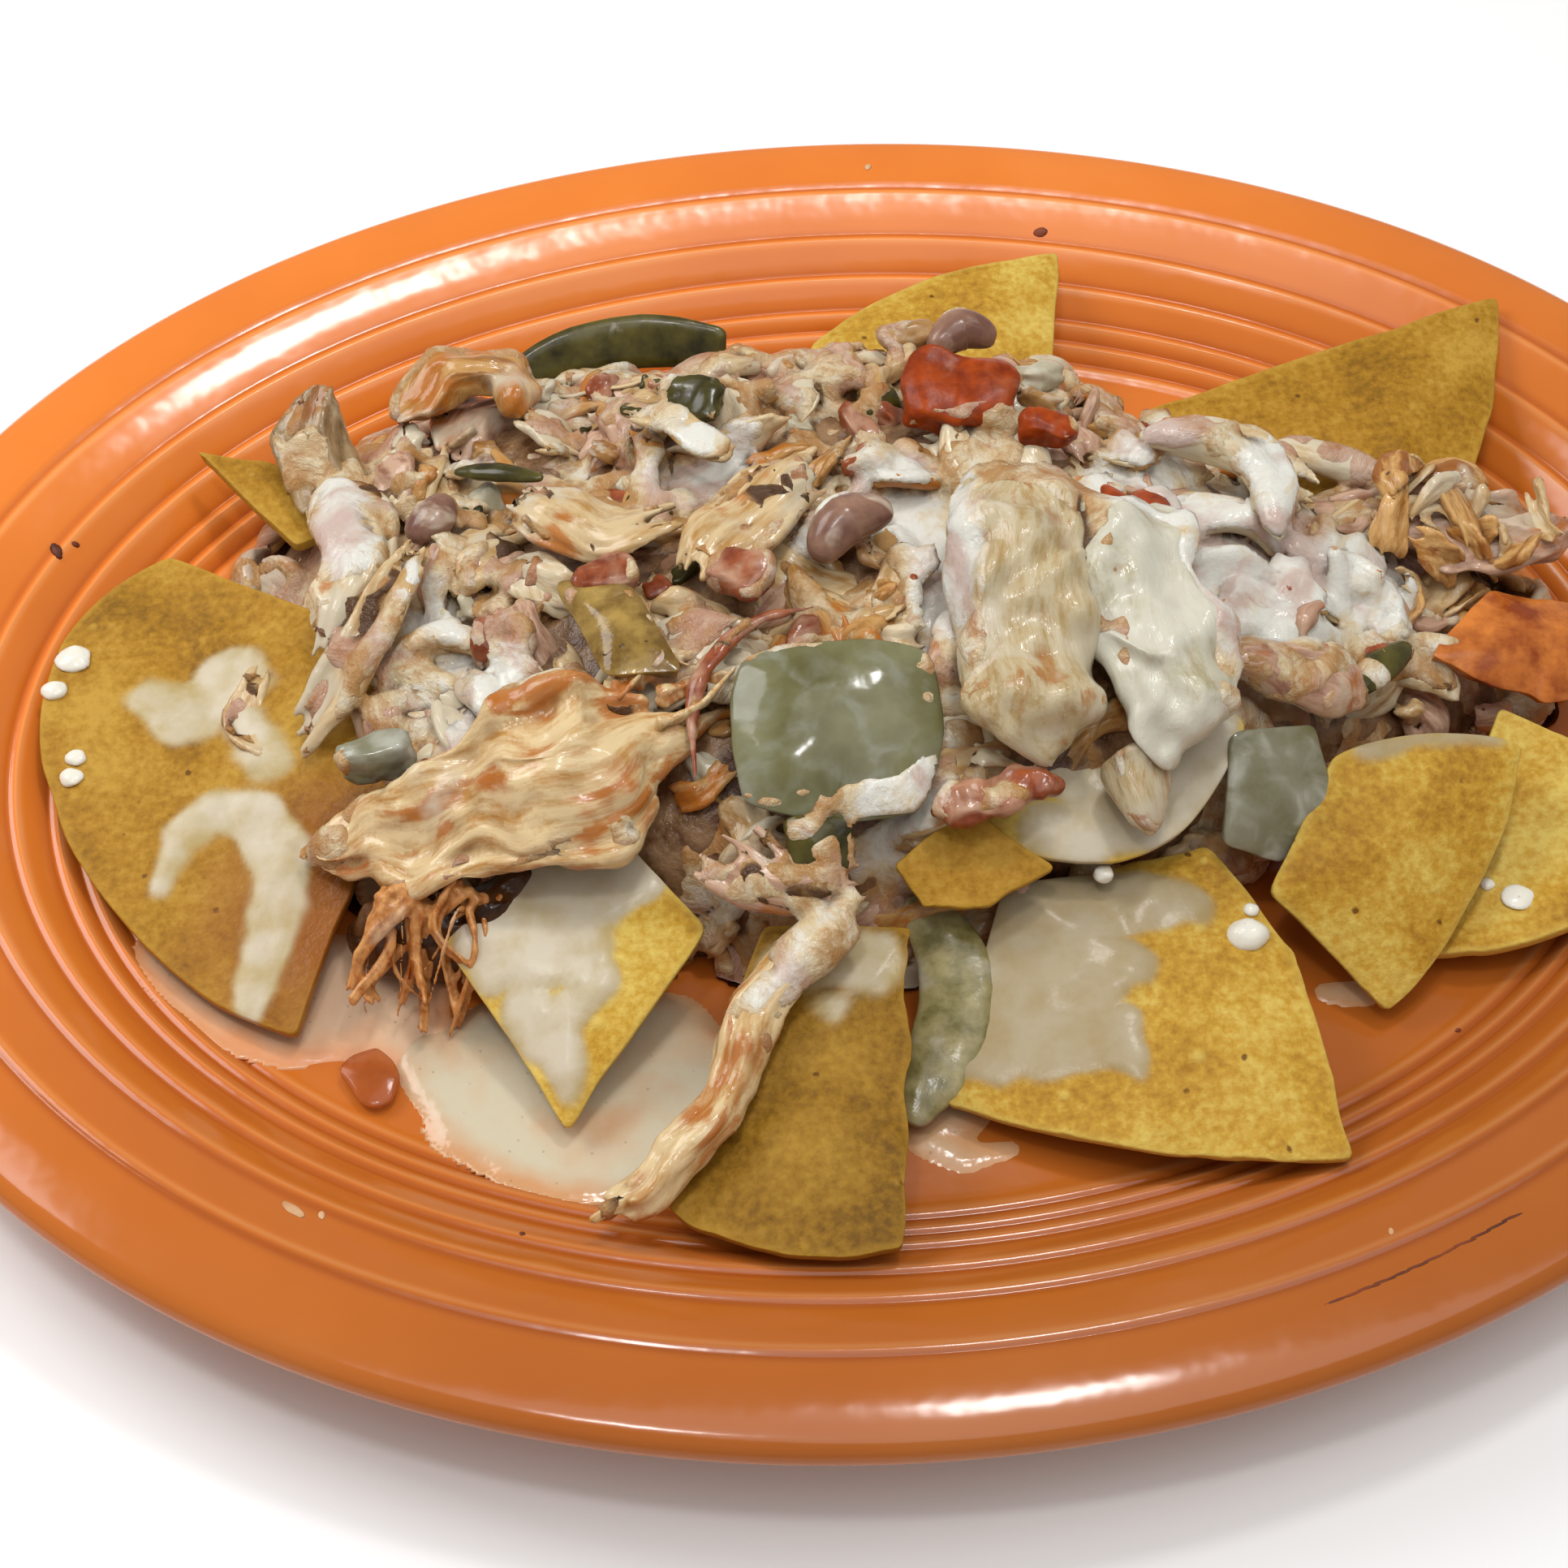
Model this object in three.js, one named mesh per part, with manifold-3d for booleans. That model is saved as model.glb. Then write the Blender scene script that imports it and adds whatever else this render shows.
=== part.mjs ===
// Nachos on an oval platter: a glazed stoneware platter with stepped rings, tortilla chips,
// pulled chicken, peppers, tomato, beans, onion, queso pools and the dressed topping heap.
// Millimetres, +Z up. The origin is under the middle of the platter, on the table.

import * as THREE from 'three';
import { mergeVertices } from 'three/addons/utils/BufferGeometryUtils.js';
import Module from 'manifold-3d';

const wasm = await Module();
wasm.setup();

// ---- driving dimensions -------------------------------------------------------------------

const PLATTER_LENGTH = 345;
const PLATTER_WIDTH = 274;
const PLATTER_HEIGHT = 25;
const PLATTER_WALL = 5.2;
const WELL_HEIGHT = 6.5;
const WELL_INSET = 46;
const FOOT_OUTER_INSET = 52;
const FOOT_INNER_INSET = 59;
const FOOT_RECESS = 1.4;
const PLATTER_SEGMENTS = 52;

// crests of the stepped rings: distance in from the platter's edge, height above the table
const RING_CRESTS = [
  [15.9, 23.9],
  [25.4, 20.1],
  [31.8, 15.7],
  [37.5, 11.7],
  [41.0, 9.5],
  [44.6, 7.3],
];
const RING_COVE_WIDTH = 1.4;
const RING_COVE_DROP = 0.2;

const GAP = 0.3;
const CHIP_THICKNESS = 1.9;
const CHIP_STEPS_PER_SIDE = 4;
const QUESO_DEPTH = 1.4;
const SWEEP_SIDES = 8;
const SWEEP_STEPS = 6;

const HEAP_CENTRE = [0, 10];
const HEAP_LUMP = 1.6;
const HEAP_SEGMENTS = 40;
const HEAP_RINGS = [0.25, 0.48, 0.68, 0.84, 0.94, 0.985];
// plan outline of the topping heap, anticlockwise from its right end
const HEAP_OUTLINE = [
  [122, 6], [114, 26], [80, 42], [44, 66], [0, 72], [-40, 74], [-80, 70], [-102, 48],
  [-103, 8], [-90, -20], [-66, -36], [-36, -44], [5, -45], [50, -38], [80, -24], [104, -14],
];
// ridge height of the heap above the table, along the platter's length
const HEAP_RIDGE = [[-110, 20], [-80, 32], [-40, 39], [0, 43], [35, 46], [70, 38], [100, 28], [125, 20]];

const COLOURS = {
  glaze: 0xe27a2c,
  chip: 0xc59a3c,
  chicken: 0xcfb08a,
  dressed: 0xc8b8a0,
  pepper_dark: 0x4a4f1c,
  pepper_pale: 0x9a9a72,
  tomato: 0xb0402a,
  tomato_skin: 0xa8542a,
  bean: 0x8d6a5c,
  onion: 0xc98a52,
  queso: 0xc9c0ac,
};

// ---- closed meshes and cuts ---------------------------------------------------------------

function signedVolume(positions, index) {
  const a = new THREE.Vector3();
  const b = new THREE.Vector3();
  const c = new THREE.Vector3();
  let total = 0;
  for (let i = 0; i < index.length; i += 3) {
    a.fromArray(positions, index[i] * 3);
    b.fromArray(positions, index[i + 1] * 3);
    c.fromArray(positions, index[i + 2] * 3);
    total += a.dot(b.cross(c));
  }
  return total / 6;
}

// Weld a geometry, drop the triangles that its poles flatten, and turn its faces outwards.
function weld(geometry) {
  geometry.deleteAttribute('normal');
  geometry.deleteAttribute('uv');
  const merged = mergeVertices(geometry, 1e-4);
  const source = merged.index.array;
  const kept = [];
  for (let i = 0; i < source.length; i += 3) {
    const [a, b, c] = [source[i], source[i + 1], source[i + 2]];
    if (a !== b && b !== c && a !== c) kept.push(a, b, c);
  }
  if (signedVolume(merged.attributes.position.array, kept) < 0) kept.reverse();
  merged.setIndex(kept);
  return merged;
}

function toSolid(geometry) {
  const vertProperties = new Float32Array(geometry.attributes.position.array);
  const triVerts = new Uint32Array(geometry.index.array);
  return new wasm.Manifold(new wasm.Mesh({ numProp: 3, vertProperties, triVerts }));
}

function toGeometry(solid) {
  const mesh = solid.getMesh();
  const geometry = new THREE.BufferGeometry();
  geometry.setAttribute('position', new THREE.BufferAttribute(new Float32Array(mesh.vertProperties), 3));
  geometry.setIndex(Array.from(mesh.triVerts));
  return geometry;
}

// Cut a solid by its swollen neighbours, and keep the largest body that is left.
function cutBy(geometry, neighbours) {
  const box = new THREE.Box3().setFromBufferAttribute(geometry.attributes.position);
  const near = neighbours.filter((other) => other.box.intersectsBox(box));
  if (near.length === 0) return geometry;
  let solid = toSolid(geometry);
  for (const other of near) solid = solid.subtract(toSolid(other.geometry));
  const bodies = solid.decompose();
  bodies.sort((a, b) => b.volume() - a.volume());
  return toGeometry(bodies[0]);
}

// ---- the four ways of making food ---------------------------------------------------------

const WAVES = [[0.61, 0.37, 1.3], [-0.43, 0.53, 4.1], [0.19, -0.71, 2.2]];

// A smooth uneven field between about -1 and 1, the same on every run.
function unevenness(x, y, scale, seed) {
  let total = 0;
  for (const [kx, ky, phase] of WAVES) {
    total += Math.sin((kx * x + ky * y) / scale + phase * (seed + 1));
  }
  return total / WAVES.length;
}

function between(list, t) {
  const place = t * (list.length - 1);
  const i = Math.min(Math.floor(place), list.length - 2);
  return list[i] + (list[i + 1] - list[i]) * (place - i);
}

// How far round a lathed disc a point lies, from 0 to 1.
function turnOf(x, z) {
  const turn = Math.atan2(x, z) / (2 * Math.PI) + 1;
  return (Math.round(turn * 1e6) / 1e6) % 1;
}

function meanNormal(corners) {
  const normal = new THREE.Vector3();
  corners.forEach((corner, i) => {
    const next = corners[(i + 1) % corners.length];
    normal.add(corner.clone().cross(next));
  });
  return normal.normalize();
}

// A flat piece through three or more corners, given anticlockwise from its upper side. Each side
// may bulge outwards and lift, a ragged side is torn, and the middle may dome.
function sheet({ corners, bulge = [], lift = [], ragged = [], dome = 0, thickness = CHIP_THICKNESS }) {
  return (grow) => {
    const points = corners.map((corner) => new THREE.Vector3(...corner));
    const centre = points.reduce((sum, p) => sum.add(p), new THREE.Vector3()).divideScalar(points.length);
    const local = points.map((p) => p.clone().sub(centre));
    const normal = meanNormal(local);
    const half = thickness / 2 + grow;
    const sides = local.length;
    const edgePoint = (turn) => {
      const place = (turn * sides) % sides;
      const side = Math.floor(place);
      const t = place - side;
      const from = local[side];
      const to = local[(side + 1) % sides];
      const along = to.clone().sub(from).normalize();
      const outward = along.clone().cross(normal);
      const arch = 4 * t * (1 - t);
      const tear = (ragged[side] ?? 0) * unevenness(place * 40, 0, 4, side) * Math.sqrt(arch);
      const point = from.clone().lerp(to, t);
      point.addScaledVector(outward, (bulge[side] ?? 0) * arch + tear);
      point.addScaledVector(normal, (lift[side] ?? 0) * arch);
      return point;
    };
    const profile = [[0, 1], [0.5, 1], [1, 1], [1, -1], [0.5, -1], [0, -1]];
    const disc = new THREE.LatheGeometry(
      profile.map(([r, y]) => new THREE.Vector2(r, y)),
      sides * CHIP_STEPS_PER_SIDE,
    );
    const position = disc.attributes.position;
    for (let i = 0; i < position.count; i++) {
      const x = position.getX(i);
      const z = position.getZ(i);
      const reach = Math.hypot(x, z);
      const turn = turnOf(x, z);
      const edge = reach > 0 ? edgePoint(turn) : new THREE.Vector3();
      const swell = edge.length() > 0 ? 1 + grow / edge.length() : 1;
      const point = edge.multiplyScalar(reach * swell);
      point.addScaledVector(normal, position.getY(i) * half + dome * (1 - reach * reach));
      point.add(centre);
      position.setXYZ(i, point.x, point.y, point.z);
    }
    return weld(disc);
  };
}

// A soft long piece along a smooth path: a sphere drawn out, as wide and as thick as its lists say.
function sweep({ path, width, thickness, facing = [0, 0, 1], blunt = 0.55 }) {
  return (grow) => {
    const curve = new THREE.CatmullRomCurve3(path.map((p) => new THREE.Vector3(...p)));
    const face = new THREE.Vector3(...facing).normalize();
    const ball = new THREE.SphereGeometry(1, SWEEP_SIDES, SWEEP_STEPS);
    const position = ball.attributes.position;
    for (let i = 0; i < position.count; i++) {
      const height = position.getY(i);
      const ring = Math.sqrt(Math.max(0, 1 - height * height));
      const t = (1 - height) / 2;
      const tangent = curve.getTangentAt(t);
      const side = tangent.clone().cross(face).normalize();
      const up = side.clone().cross(tangent);
      const full = ring > 1e-5 ? Math.pow(ring, blunt) / ring : 0;
      const point = curve.getPointAt(t);
      point.addScaledVector(tangent, -Math.sign(height) * grow * height * height);
      point.addScaledVector(side, position.getX(i) * full * (between(width, t) / 2 + grow));
      point.addScaledVector(up, position.getZ(i) * full * (between(thickness, t) / 2 + grow));
      position.setXYZ(i, point.x, point.y, point.z);
    }
    return weld(ball);
  };
}

// A diced piece: a box with rounded, uneven corners, turned about the upright and then tipped.
function dice({ at, size, turn = 0, tip = 0, seed = 0 }) {
  return (grow) => {
    const box = new THREE.BoxGeometry(1, 1, 1, 2, 2, 2);
    const position = box.attributes.position;
    const rotation = new THREE.Euler(THREE.MathUtils.degToRad(tip), 0, THREE.MathUtils.degToRad(turn), 'ZXY');
    for (let i = 0; i < position.count; i++) {
      const point = new THREE.Vector3().fromBufferAttribute(position, i).multiplyScalar(2);
      const round = 1 / Math.pow(point.length(), 0.6);
      const uneven = 1 + 0.12 * unevenness(point.x * 9 + point.z * 5, point.y * 9, 3, seed);
      point.multiplyScalar(round * uneven);
      point.set(
        point.x * (size[0] / 2 + grow),
        point.y * (size[1] / 2 + grow),
        point.z * (size[2] / 2 + grow),
      );
      point.applyEuler(rotation).add(new THREE.Vector3(...at));
      position.setXYZ(i, point.x, point.y, point.z);
    }
    return weld(box);
  };
}

// ---- the platter --------------------------------------------------------------------------

// The platter's section from the middle of its well, over the lip and back under to the middle.
function platterProfile() {
  const half = PLATTER_WIDTH / 2;
  const points = [[half, WELL_HEIGHT]];
  points.push([WELL_INSET + 0.6, WELL_HEIGHT]);
  for (const [inset, height] of [...RING_CRESTS].reverse()) {
    points.push([inset, height]);
    points.push([inset - RING_COVE_WIDTH, height - RING_COVE_DROP]);
  }
  points.push([13, PLATTER_HEIGHT - 0.7], [7, PLATTER_HEIGHT], [2.2, PLATTER_HEIGHT - 0.3]);
  points.push([0.4, PLATTER_HEIGHT - 1.6], [0, PLATTER_HEIGHT - 3.2]);
  points.push([1.4, PLATTER_HEIGHT - PLATTER_WALL], [13, PLATTER_HEIGHT - 1.3 * PLATTER_WALL]);
  points.push([RING_CRESTS[5][0], RING_CRESTS[5][1] - PLATTER_WALL]);
  points.push([FOOT_OUTER_INSET, 0], [FOOT_INNER_INSET, 0]);
  points.push([FOOT_INNER_INSET + FOOT_RECESS, FOOT_RECESS], [half, FOOT_RECESS]);
  return points.map(([inset, height]) => new THREE.Vector2(half - inset, height));
}

// Turn the section, then draw the rings out sideways so that they stay evenly wide round the oval.
function platter() {
  const geometry = new THREE.LatheGeometry(platterProfile(), PLATTER_SEGMENTS);
  geometry.rotateX(Math.PI / 2);
  const position = geometry.attributes.position;
  const wellRadius = PLATTER_WIDTH / 2 - WELL_INSET;
  const stretch = (PLATTER_LENGTH - PLATTER_WIDTH) / 2;
  for (let i = 0; i < position.count; i++) {
    const x = position.getX(i);
    const y = position.getY(i);
    const r = Math.hypot(x, y);
    if (r > 0) position.setX(i, x + (x / r) * stretch * Math.min(1, r / wellRadius));
  }
  return weld(geometry);
}

// ---- the dressed topping heap -------------------------------------------------------------

function ridgeHeight(x) {
  const after = HEAP_RIDGE.findIndex(([place]) => place > x);
  if (after < 0) return HEAP_RIDGE[HEAP_RIDGE.length - 1][1];
  if (after === 0) return HEAP_RIDGE[0][1];
  const [x0, z0] = HEAP_RIDGE[after - 1];
  const [x1, z1] = HEAP_RIDGE[after];
  return z0 + ((z1 - z0) * (x - x0)) / (x1 - x0);
}

function heap() {
  const outline = new THREE.CatmullRomCurve3(
    HEAP_OUTLINE.map(([x, y]) => new THREE.Vector3(x - HEAP_CENTRE[0], y - HEAP_CENTRE[1], 0)),
    true,
  );
  const profile = [[0, 1], ...HEAP_RINGS.map((r) => [r, 1]), [1, 1], [1, 0], [0.5, 0], [0, 0]];
  const disc = new THREE.LatheGeometry(
    profile.map(([r, y]) => new THREE.Vector2(r, y)),
    HEAP_SEGMENTS,
  );
  const floor = WELL_HEIGHT + GAP;
  const position = disc.attributes.position;
  for (let i = 0; i < position.count; i++) {
    const x = position.getX(i);
    const z = position.getZ(i);
    const reach = Math.hypot(x, z);
    const turn = turnOf(x, z);
    const edge = outline.getPoint(turn);
    const px = HEAP_CENTRE[0] + edge.x * reach;
    const py = HEAP_CENTRE[1] + edge.y * reach;
    const dome = Math.sqrt(Math.max(0, 1 - reach ** 4));
    const lump = HEAP_LUMP * unevenness(px, py, 7, 3) * dome;
    const top = floor + 3 + (ridgeHeight(px) - floor - 3) * dome + lump;
    position.setXYZ(i, px, py, position.getY(i) > 0.5 ? top : floor);
  }
  return weld(disc);
}

// ---- the pieces ---------------------------------------------------------------------------

const QUESO_Z = WELL_HEIGHT + GAP + QUESO_DEPTH / 2;
const pool = (outline) => sheet({ corners: outline.map(([x, y]) => [x, y, QUESO_Z]), thickness: QUESO_DEPTH });

// name, colour, shape; an earlier piece keeps its shape where a later one meets it
const PIECES = [
  ['tomato_chunk_back', 'tomato', dice({ at: [20, 38, 47], size: [19, 14, 8], turn: -12, tip: 14, seed: 1 })],
  ['tomato_flesh_back', 'tomato', dice({ at: [33, 28, 48], size: [9, 6, 5], turn: -20, seed: 2 })],
  ['tomato_folded_skin', 'tomato', sweep({
    path: [[40, 14, 48], [44, 3, 50], [48, 11, 47], [51, 0, 47]], width: [4, 7, 7, 4], thickness: [3, 4, 3],
  })],
  ['tomato_bit_left', 'tomato', dice({ at: [-42, 5, 43], size: [10, 7, 6], turn: 20, seed: 3 })],
  ['tomato_bit_middle', 'tomato', dice({ at: [-20, 1, 47], size: [8, 7, 5], turn: -30, seed: 4 })],
  ['tomato_bits_front', 'tomato', sweep({
    path: [[5, -41, 37], [11, -41, 38], [18, -40, 40], [25, -39, 40]], width: [7, 9, 7], thickness: [6, 6, 5],
  })],
  ['tomato_strip_middle', 'tomato', sweep({
    path: [[-9, -6, 46], [-20, -9, 46], [-29, -19, 44], [-30, -34, 40]], width: [3, 5, 5, 4], thickness: [4, 5, 4],
  })],
  ['tomato_skin_right', 'tomato_skin', sheet({
    corners: [[92, -11, 28], [110, -18, 22], [125, -13, 20], [126, 1, 22], [106, 3, 27]],
    dome: 2.5, thickness: 2.4, ragged: [1.2, 1, 1.4, 1, 0.8],
  })],
  ['pepper_strip_back', 'pepper_dark', sweep({
    path: [[-59, 74, 24], [-48, 79, 27], [-33, 81, 28], [-17, 78, 28]], width: [5, 8, 9, 8], thickness: [3, 4, 4],
    facing: [0, -0.6, 0.8],
  })],
  ['pepper_bit_back', 'pepper_dark', dice({ at: [-25, 44, 44], size: [11, 8, 4], turn: -15, tip: 20, seed: 5 })],
  ['pepper_slit_left', 'pepper_dark', sweep({
    path: [[-66, 38, 37], [-58, 35, 39], [-51, 32, 40]], width: [3, 4, 3], thickness: [2, 2.6, 2],
  })],
  ['pepper_square_middle', 'pepper_pale', sheet({
    corners: [[-23, -37, 38], [3, -41, 37], [7, -18, 46], [-21, -16, 45]],
    bulge: [2, 2.5, 2, 1.5], dome: 4, thickness: 3.6,
  })],
  ['pepper_ring_front', 'pepper_dark', dice({ at: [-12, -44, 35], size: [10, 9, 4], tip: 35, seed: 6 })],
  ['pepper_strip_front', 'pepper_dark', sweep({
    path: [[5, -44, 18], [13, -56, 15], [9, -69, 12], [-1, -79, 9.6]], width: [7, 8, 8, 5], thickness: [3, 4, 3],
    facing: [-0.5, 0, 0.86],
  })],
  ['pepper_pale_right', 'pepper_pale', sheet({
    corners: [[51, -43, 26], [61, -43, 20], [70, -36, 25], [68, -26, 32], [54, -29, 35]],
    dome: 2, thickness: 3, ragged: [1, 0, 0, 0, 0],
  })],
  ['pepper_bit_right', 'pepper_dark', sweep({
    path: [[76, -20, 32], [82, -15, 32], [88, -10, 31]], width: [5, 6, 5], thickness: [3, 3, 3],
  })],
  ['pepper_cube_left', 'pepper_pale', dice({ at: [-80, -17, 30], size: [12, 6, 6], turn: 5, seed: 7 })],
  ['bean_back', 'bean', sweep({
    path: [[18, 59, 38], [24, 63, 39], [30, 61, 38]], width: [6, 8, 6], thickness: [6, 7, 6],
  })],
  ['bean_middle', 'bean', sweep({
    path: [[-8, 3, 47], [-3, 9, 49], [5, 11, 49]], width: [7, 9, 7], thickness: [6, 8, 6],
  })],
  ['bean_left', 'bean', sweep({
    path: [[-74, 25, 35], [-70, 28, 36], [-67, 32, 37]], width: [6, 8, 6], thickness: [5, 6, 5],
  })],
  ['onion_slice_heap', 'onion', sheet({
    corners: [[-42, -16, 44], [-31, -17, 45], [-38, 1, 45], [-49, 5, 43]], dome: 2, thickness: 2.4,
  })],
  ['onion_slice_platter', 'onion', sheet({
    corners: [[-88, -62, 8.4], [-82, -68, 8.4], [-78, -63, 8.4], [-82, -57, 8.4]],
    bulge: [1, 1, 1, 1], dome: 0.8, thickness: 2,
  })],
  ['chicken_lobe_left', 'chicken', sweep({
    path: [[27, 19, 51], [24, 2, 55], [24, -17, 53], [23, -38, 44]], width: [12, 17, 17, 12], thickness: [8, 11, 11, 9],
  })],
  ['chicken_lobe_right', 'chicken', sweep({
    path: [[36, 16, 50], [40, -5, 53], [43, -22, 50], [42, -37, 42]], width: [10, 14, 17, 13], thickness: [8, 10, 11, 8],
  })],
  ['chicken_tip_right', 'chicken', sweep({
    path: [[37, -33, 40], [38, -40, 37], [39, -46, 33]], width: [9, 9, 4], thickness: [6, 6, 4],
  })],
  ['chicken_long_left', 'chicken', sweep({
    path: [[-95, -28, 20], [-76, -31, 29], [-58, -31, 35], [-44, -29, 39], [-31, -25, 41]],
    width: [8, 18, 23, 25, 19], thickness: [6, 9, 10, 9, 7], facing: [0, -0.45, 0.9],
  })],
  ['chicken_strand_front', 'chicken', sweep({
    path: [[-7, -52, 31], [-20, -61, 28], [-26, -72, 25], [-33, -84, 22], [-41, -92, 20], [-49, -97, 18.5]],
    width: [9, 11, 10, 9, 11, 8], thickness: [5, 6, 6, 6, 7, 6],
  })],
  ['chicken_fold_left', 'chicken', sweep({
    path: [[-88, 50, 26], [-83, 28, 33], [-85, 12, 32], [-92, 0, 26]], width: [8, 13, 12, 7], thickness: [5, 8, 7, 5],
  })],
  ['chicken_strip_left', 'chicken', sweep({
    path: [[-70, 24, 38], [-79, 10, 35], [-87, -3, 29], [-96, -10, 22]], width: [6, 9, 9, 6], thickness: [4, 6, 6, 4],
  })],
  ['chicken_shred_left', 'chicken', sweep({
    path: [[-99, 12, 22], [-103, 2, 19], [-97, -8, 20]], width: [6, 8, 6], thickness: [4, 5, 4],
  })],
  ['chicken_loop_right', 'chicken', sweep({
    path: [[49, 26, 46], [60, 27, 45], [69, 20, 43], [68, 6, 42]], width: [9, 12, 12, 8], thickness: [6, 8, 8, 6],
  })],
  ['chicken_band_right', 'chicken', sweep({
    path: [[73, 38, 30], [87, 34, 29], [98, 27, 28]], width: [6, 8, 6], thickness: [4, 5, 4],
  })],
  ['chicken_shreds_right', 'chicken', sweep({
    path: [[88, 16, 33], [101, 18, 30], [114, 16, 27], [125, 20, 25]], width: [9, 18, 18, 8], thickness: [6, 8, 8, 5],
  })],
  ['chicken_piece_right', 'chicken', sweep({
    path: [[55, -18, 42], [66, -20, 38], [77, -22, 32]], width: [9, 13, 9], thickness: [6, 9, 7],
  })],
  ['chicken_fold_middle', 'chicken', sweep({
    path: [[-56, 27, 42], [-47, 19, 44], [-38, 14, 45], [-29, 15, 45]], width: [7, 9, 10, 7], thickness: [5, 7, 7, 5],
  })],
  ['chicken_slice_middle', 'chicken', sweep({
    path: [[-28, 2, 45], [-22, 11, 47], [-13, 18, 48], [-5, 22, 47]], width: [8, 12, 12, 8], thickness: [5, 7, 7, 5],
  })],
  ['chicken_shard_back', 'chicken', sweep({
    path: [[-36, 43, 43], [-28, 36, 46], [-19, 28, 46]], width: [5, 8, 5], thickness: [3, 4, 3],
  })],
  ['chicken_upright_left', 'chicken', sweep({
    path: [[-94, 48, 24], [-94, 55, 28], [-92, 61, 33], [-88, 63, 37]], width: [12, 14, 12, 7], thickness: [6, 7, 6, 4],
  })],
  ['chicken_roll_back', 'chicken', sweep({
    path: [[-75, 56, 31], [-68, 64, 33], [-58, 63, 35], [-54, 53, 37]], width: [10, 13, 12, 9], thickness: [8, 9, 9, 7],
  })],
  ['chicken_net_front', 'chicken', sweep({
    path: [[-35, -43, 35], [-24, -48, 33], [-12, -50, 32], [0, -49, 32]], width: [9, 11, 9, 5], thickness: [5, 5, 4, 3],
    facing: [0, -0.7, 0.7],
  })],
  ['chip_left', 'chip', sheet({
    corners: [[-117, 38, 20], [-137, 6, 17.5], [-118, -38, 12.7], [-94, -56, 11], [-68, 6, 25]],
    bulge: [6, 4, 2, -1, 0],
  })],
  ['chip_back_left', 'chip', sheet({ corners: [[-113, 60, 24], [-95, 38, 20], [-76, 50, 20]] })],
  ['chip_back', 'chip', sheet({
    corners: [[49, 101, 21.5], [-1, 82, 18.5], [18, 52, 15], [43, 70, 18]], bulge: [5, 0, 0, 0], dome: 1.5,
  })],
  ['chip_back_right', 'chip', sheet({
    corners: [[56, 54, 24], [88, 14, 17], [111, 32, 20], [127, 75.5, 26.5]], bulge: [0, 0, 2, 0], dome: 2,
  })],
  ['chip_front_left', 'chip', sheet({
    corners: [[-70, -46, 19], [-53, -76, 10.5], [-30, -50, 23], [-46, -27, 25]], dome: 1.5,
  })],
  ['chip_front', 'chip', sheet({
    corners: [[-21, -50, 22], [-39, -92.5, 15], [-6, -104, 18], [1.5, -53, 22.5]],
    bulge: [0, 4.5, 0, 0], lift: [0, 1.6, 0, 0], ragged: [0, 0.7, 1.6, 0], dome: 1,
  })],
  ['chip_broken_front', 'chip', sheet({
    corners: [[-1, -45, 29], [3, -51.5, 25.5], [13, -52.5, 26.5], [24, -48, 29], [12, -38, 33]],
    ragged: [1, 1.5, 1.5, 0, 0],
  })],
  ['chip_under_chicken', 'chip', sheet({
    corners: [[13, -41, 29.5], [57, -27, 34], [45, -5, 34], [20, -12, 34]], bulge: [12, 0, 0, 0], lift: [-4, 0, 0, 0],
  })],
  ['chip_front_right', 'chip', sheet({
    corners: [[4, -77, 10.8], [61, -95.5, 18.3], [60, -60, 19], [50, -40, 20], [17, -45, 19]],
    bulge: [3, 0, 0, 0, 0], dome: 2,
  })],
  ['chip_right', 'chip', sheet({
    corners: [[71, -30, 28], [58, -50, 21.5], [74.5, -66, 9.5], [102, -30, 28]], bulge: [0, 0, 4, 3], dome: 2,
  })],
  ['chip_edge_right', 'chip', sheet({
    corners: [[104, -16, 20], [80, -57, 11], [108, -56, 15.5], [128, -34, 20]], bulge: [0, 2, 4, 0], dome: -1,
  })],
  ['queso_pool_left', 'queso', pool([[-114, -34], [-102, -49], [-88, -61], [-76, -56], [-80, -40], [-98, -24]])],
  ['queso_pool_front', 'queso', pool([[-74, -52], [-72, -68], [-56, -78], [-38, -80], [-26, -72], [-30, -50], [-54, -40]])],
  ['queso_pool_right', 'queso', pool([[-4, -80], [4, -86], [14, -82], [22, -66], [10, -52], [-2, -60]])],
];

// ---- the model ----------------------------------------------------------------------------

const model = new THREE.Group();

function addNode(name, colour, geometry, roughness = 0.4) {
  const material = new THREE.MeshStandardMaterial({ color: COLOURS[colour], roughness, metalness: 0 });
  const mesh = new THREE.Mesh(geometry, material);
  mesh.name = name;
  model.add(mesh);
}

addNode('platter', 'glaze', platter(), 0.15);

const swollen = [];
for (const [name, colour, shape] of PIECES) {
  addNode(name, colour, cutBy(shape(0), swollen), colour === 'chip' ? 0.7 : 0.35);
  const geometry = shape(GAP);
  const box = new THREE.Box3().setFromBufferAttribute(geometry.attributes.position);
  swollen.push({ geometry, box });
}
addNode('topping_heap', 'dressed', cutBy(heap(), swollen), 0.35);

export default model;
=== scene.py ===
"""Nachos on an oval platter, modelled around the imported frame.

A glazed stoneware platter carries fried corn chips, pulled chicken, peppers, tomato, beans and
onion, all bound by a pale queso sauce. Sizes are in millimetres and become metres when a mesh is
made. Every piece keeps its object at the origin, with its place in its mesh.
"""

import logging
import math
from dataclasses import dataclass, field
from enum import Enum
from typing import Iterable, Sequence

import bpy
import numpy as np
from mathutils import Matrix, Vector
from mathutils.bvhtree import BVHTree


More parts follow.
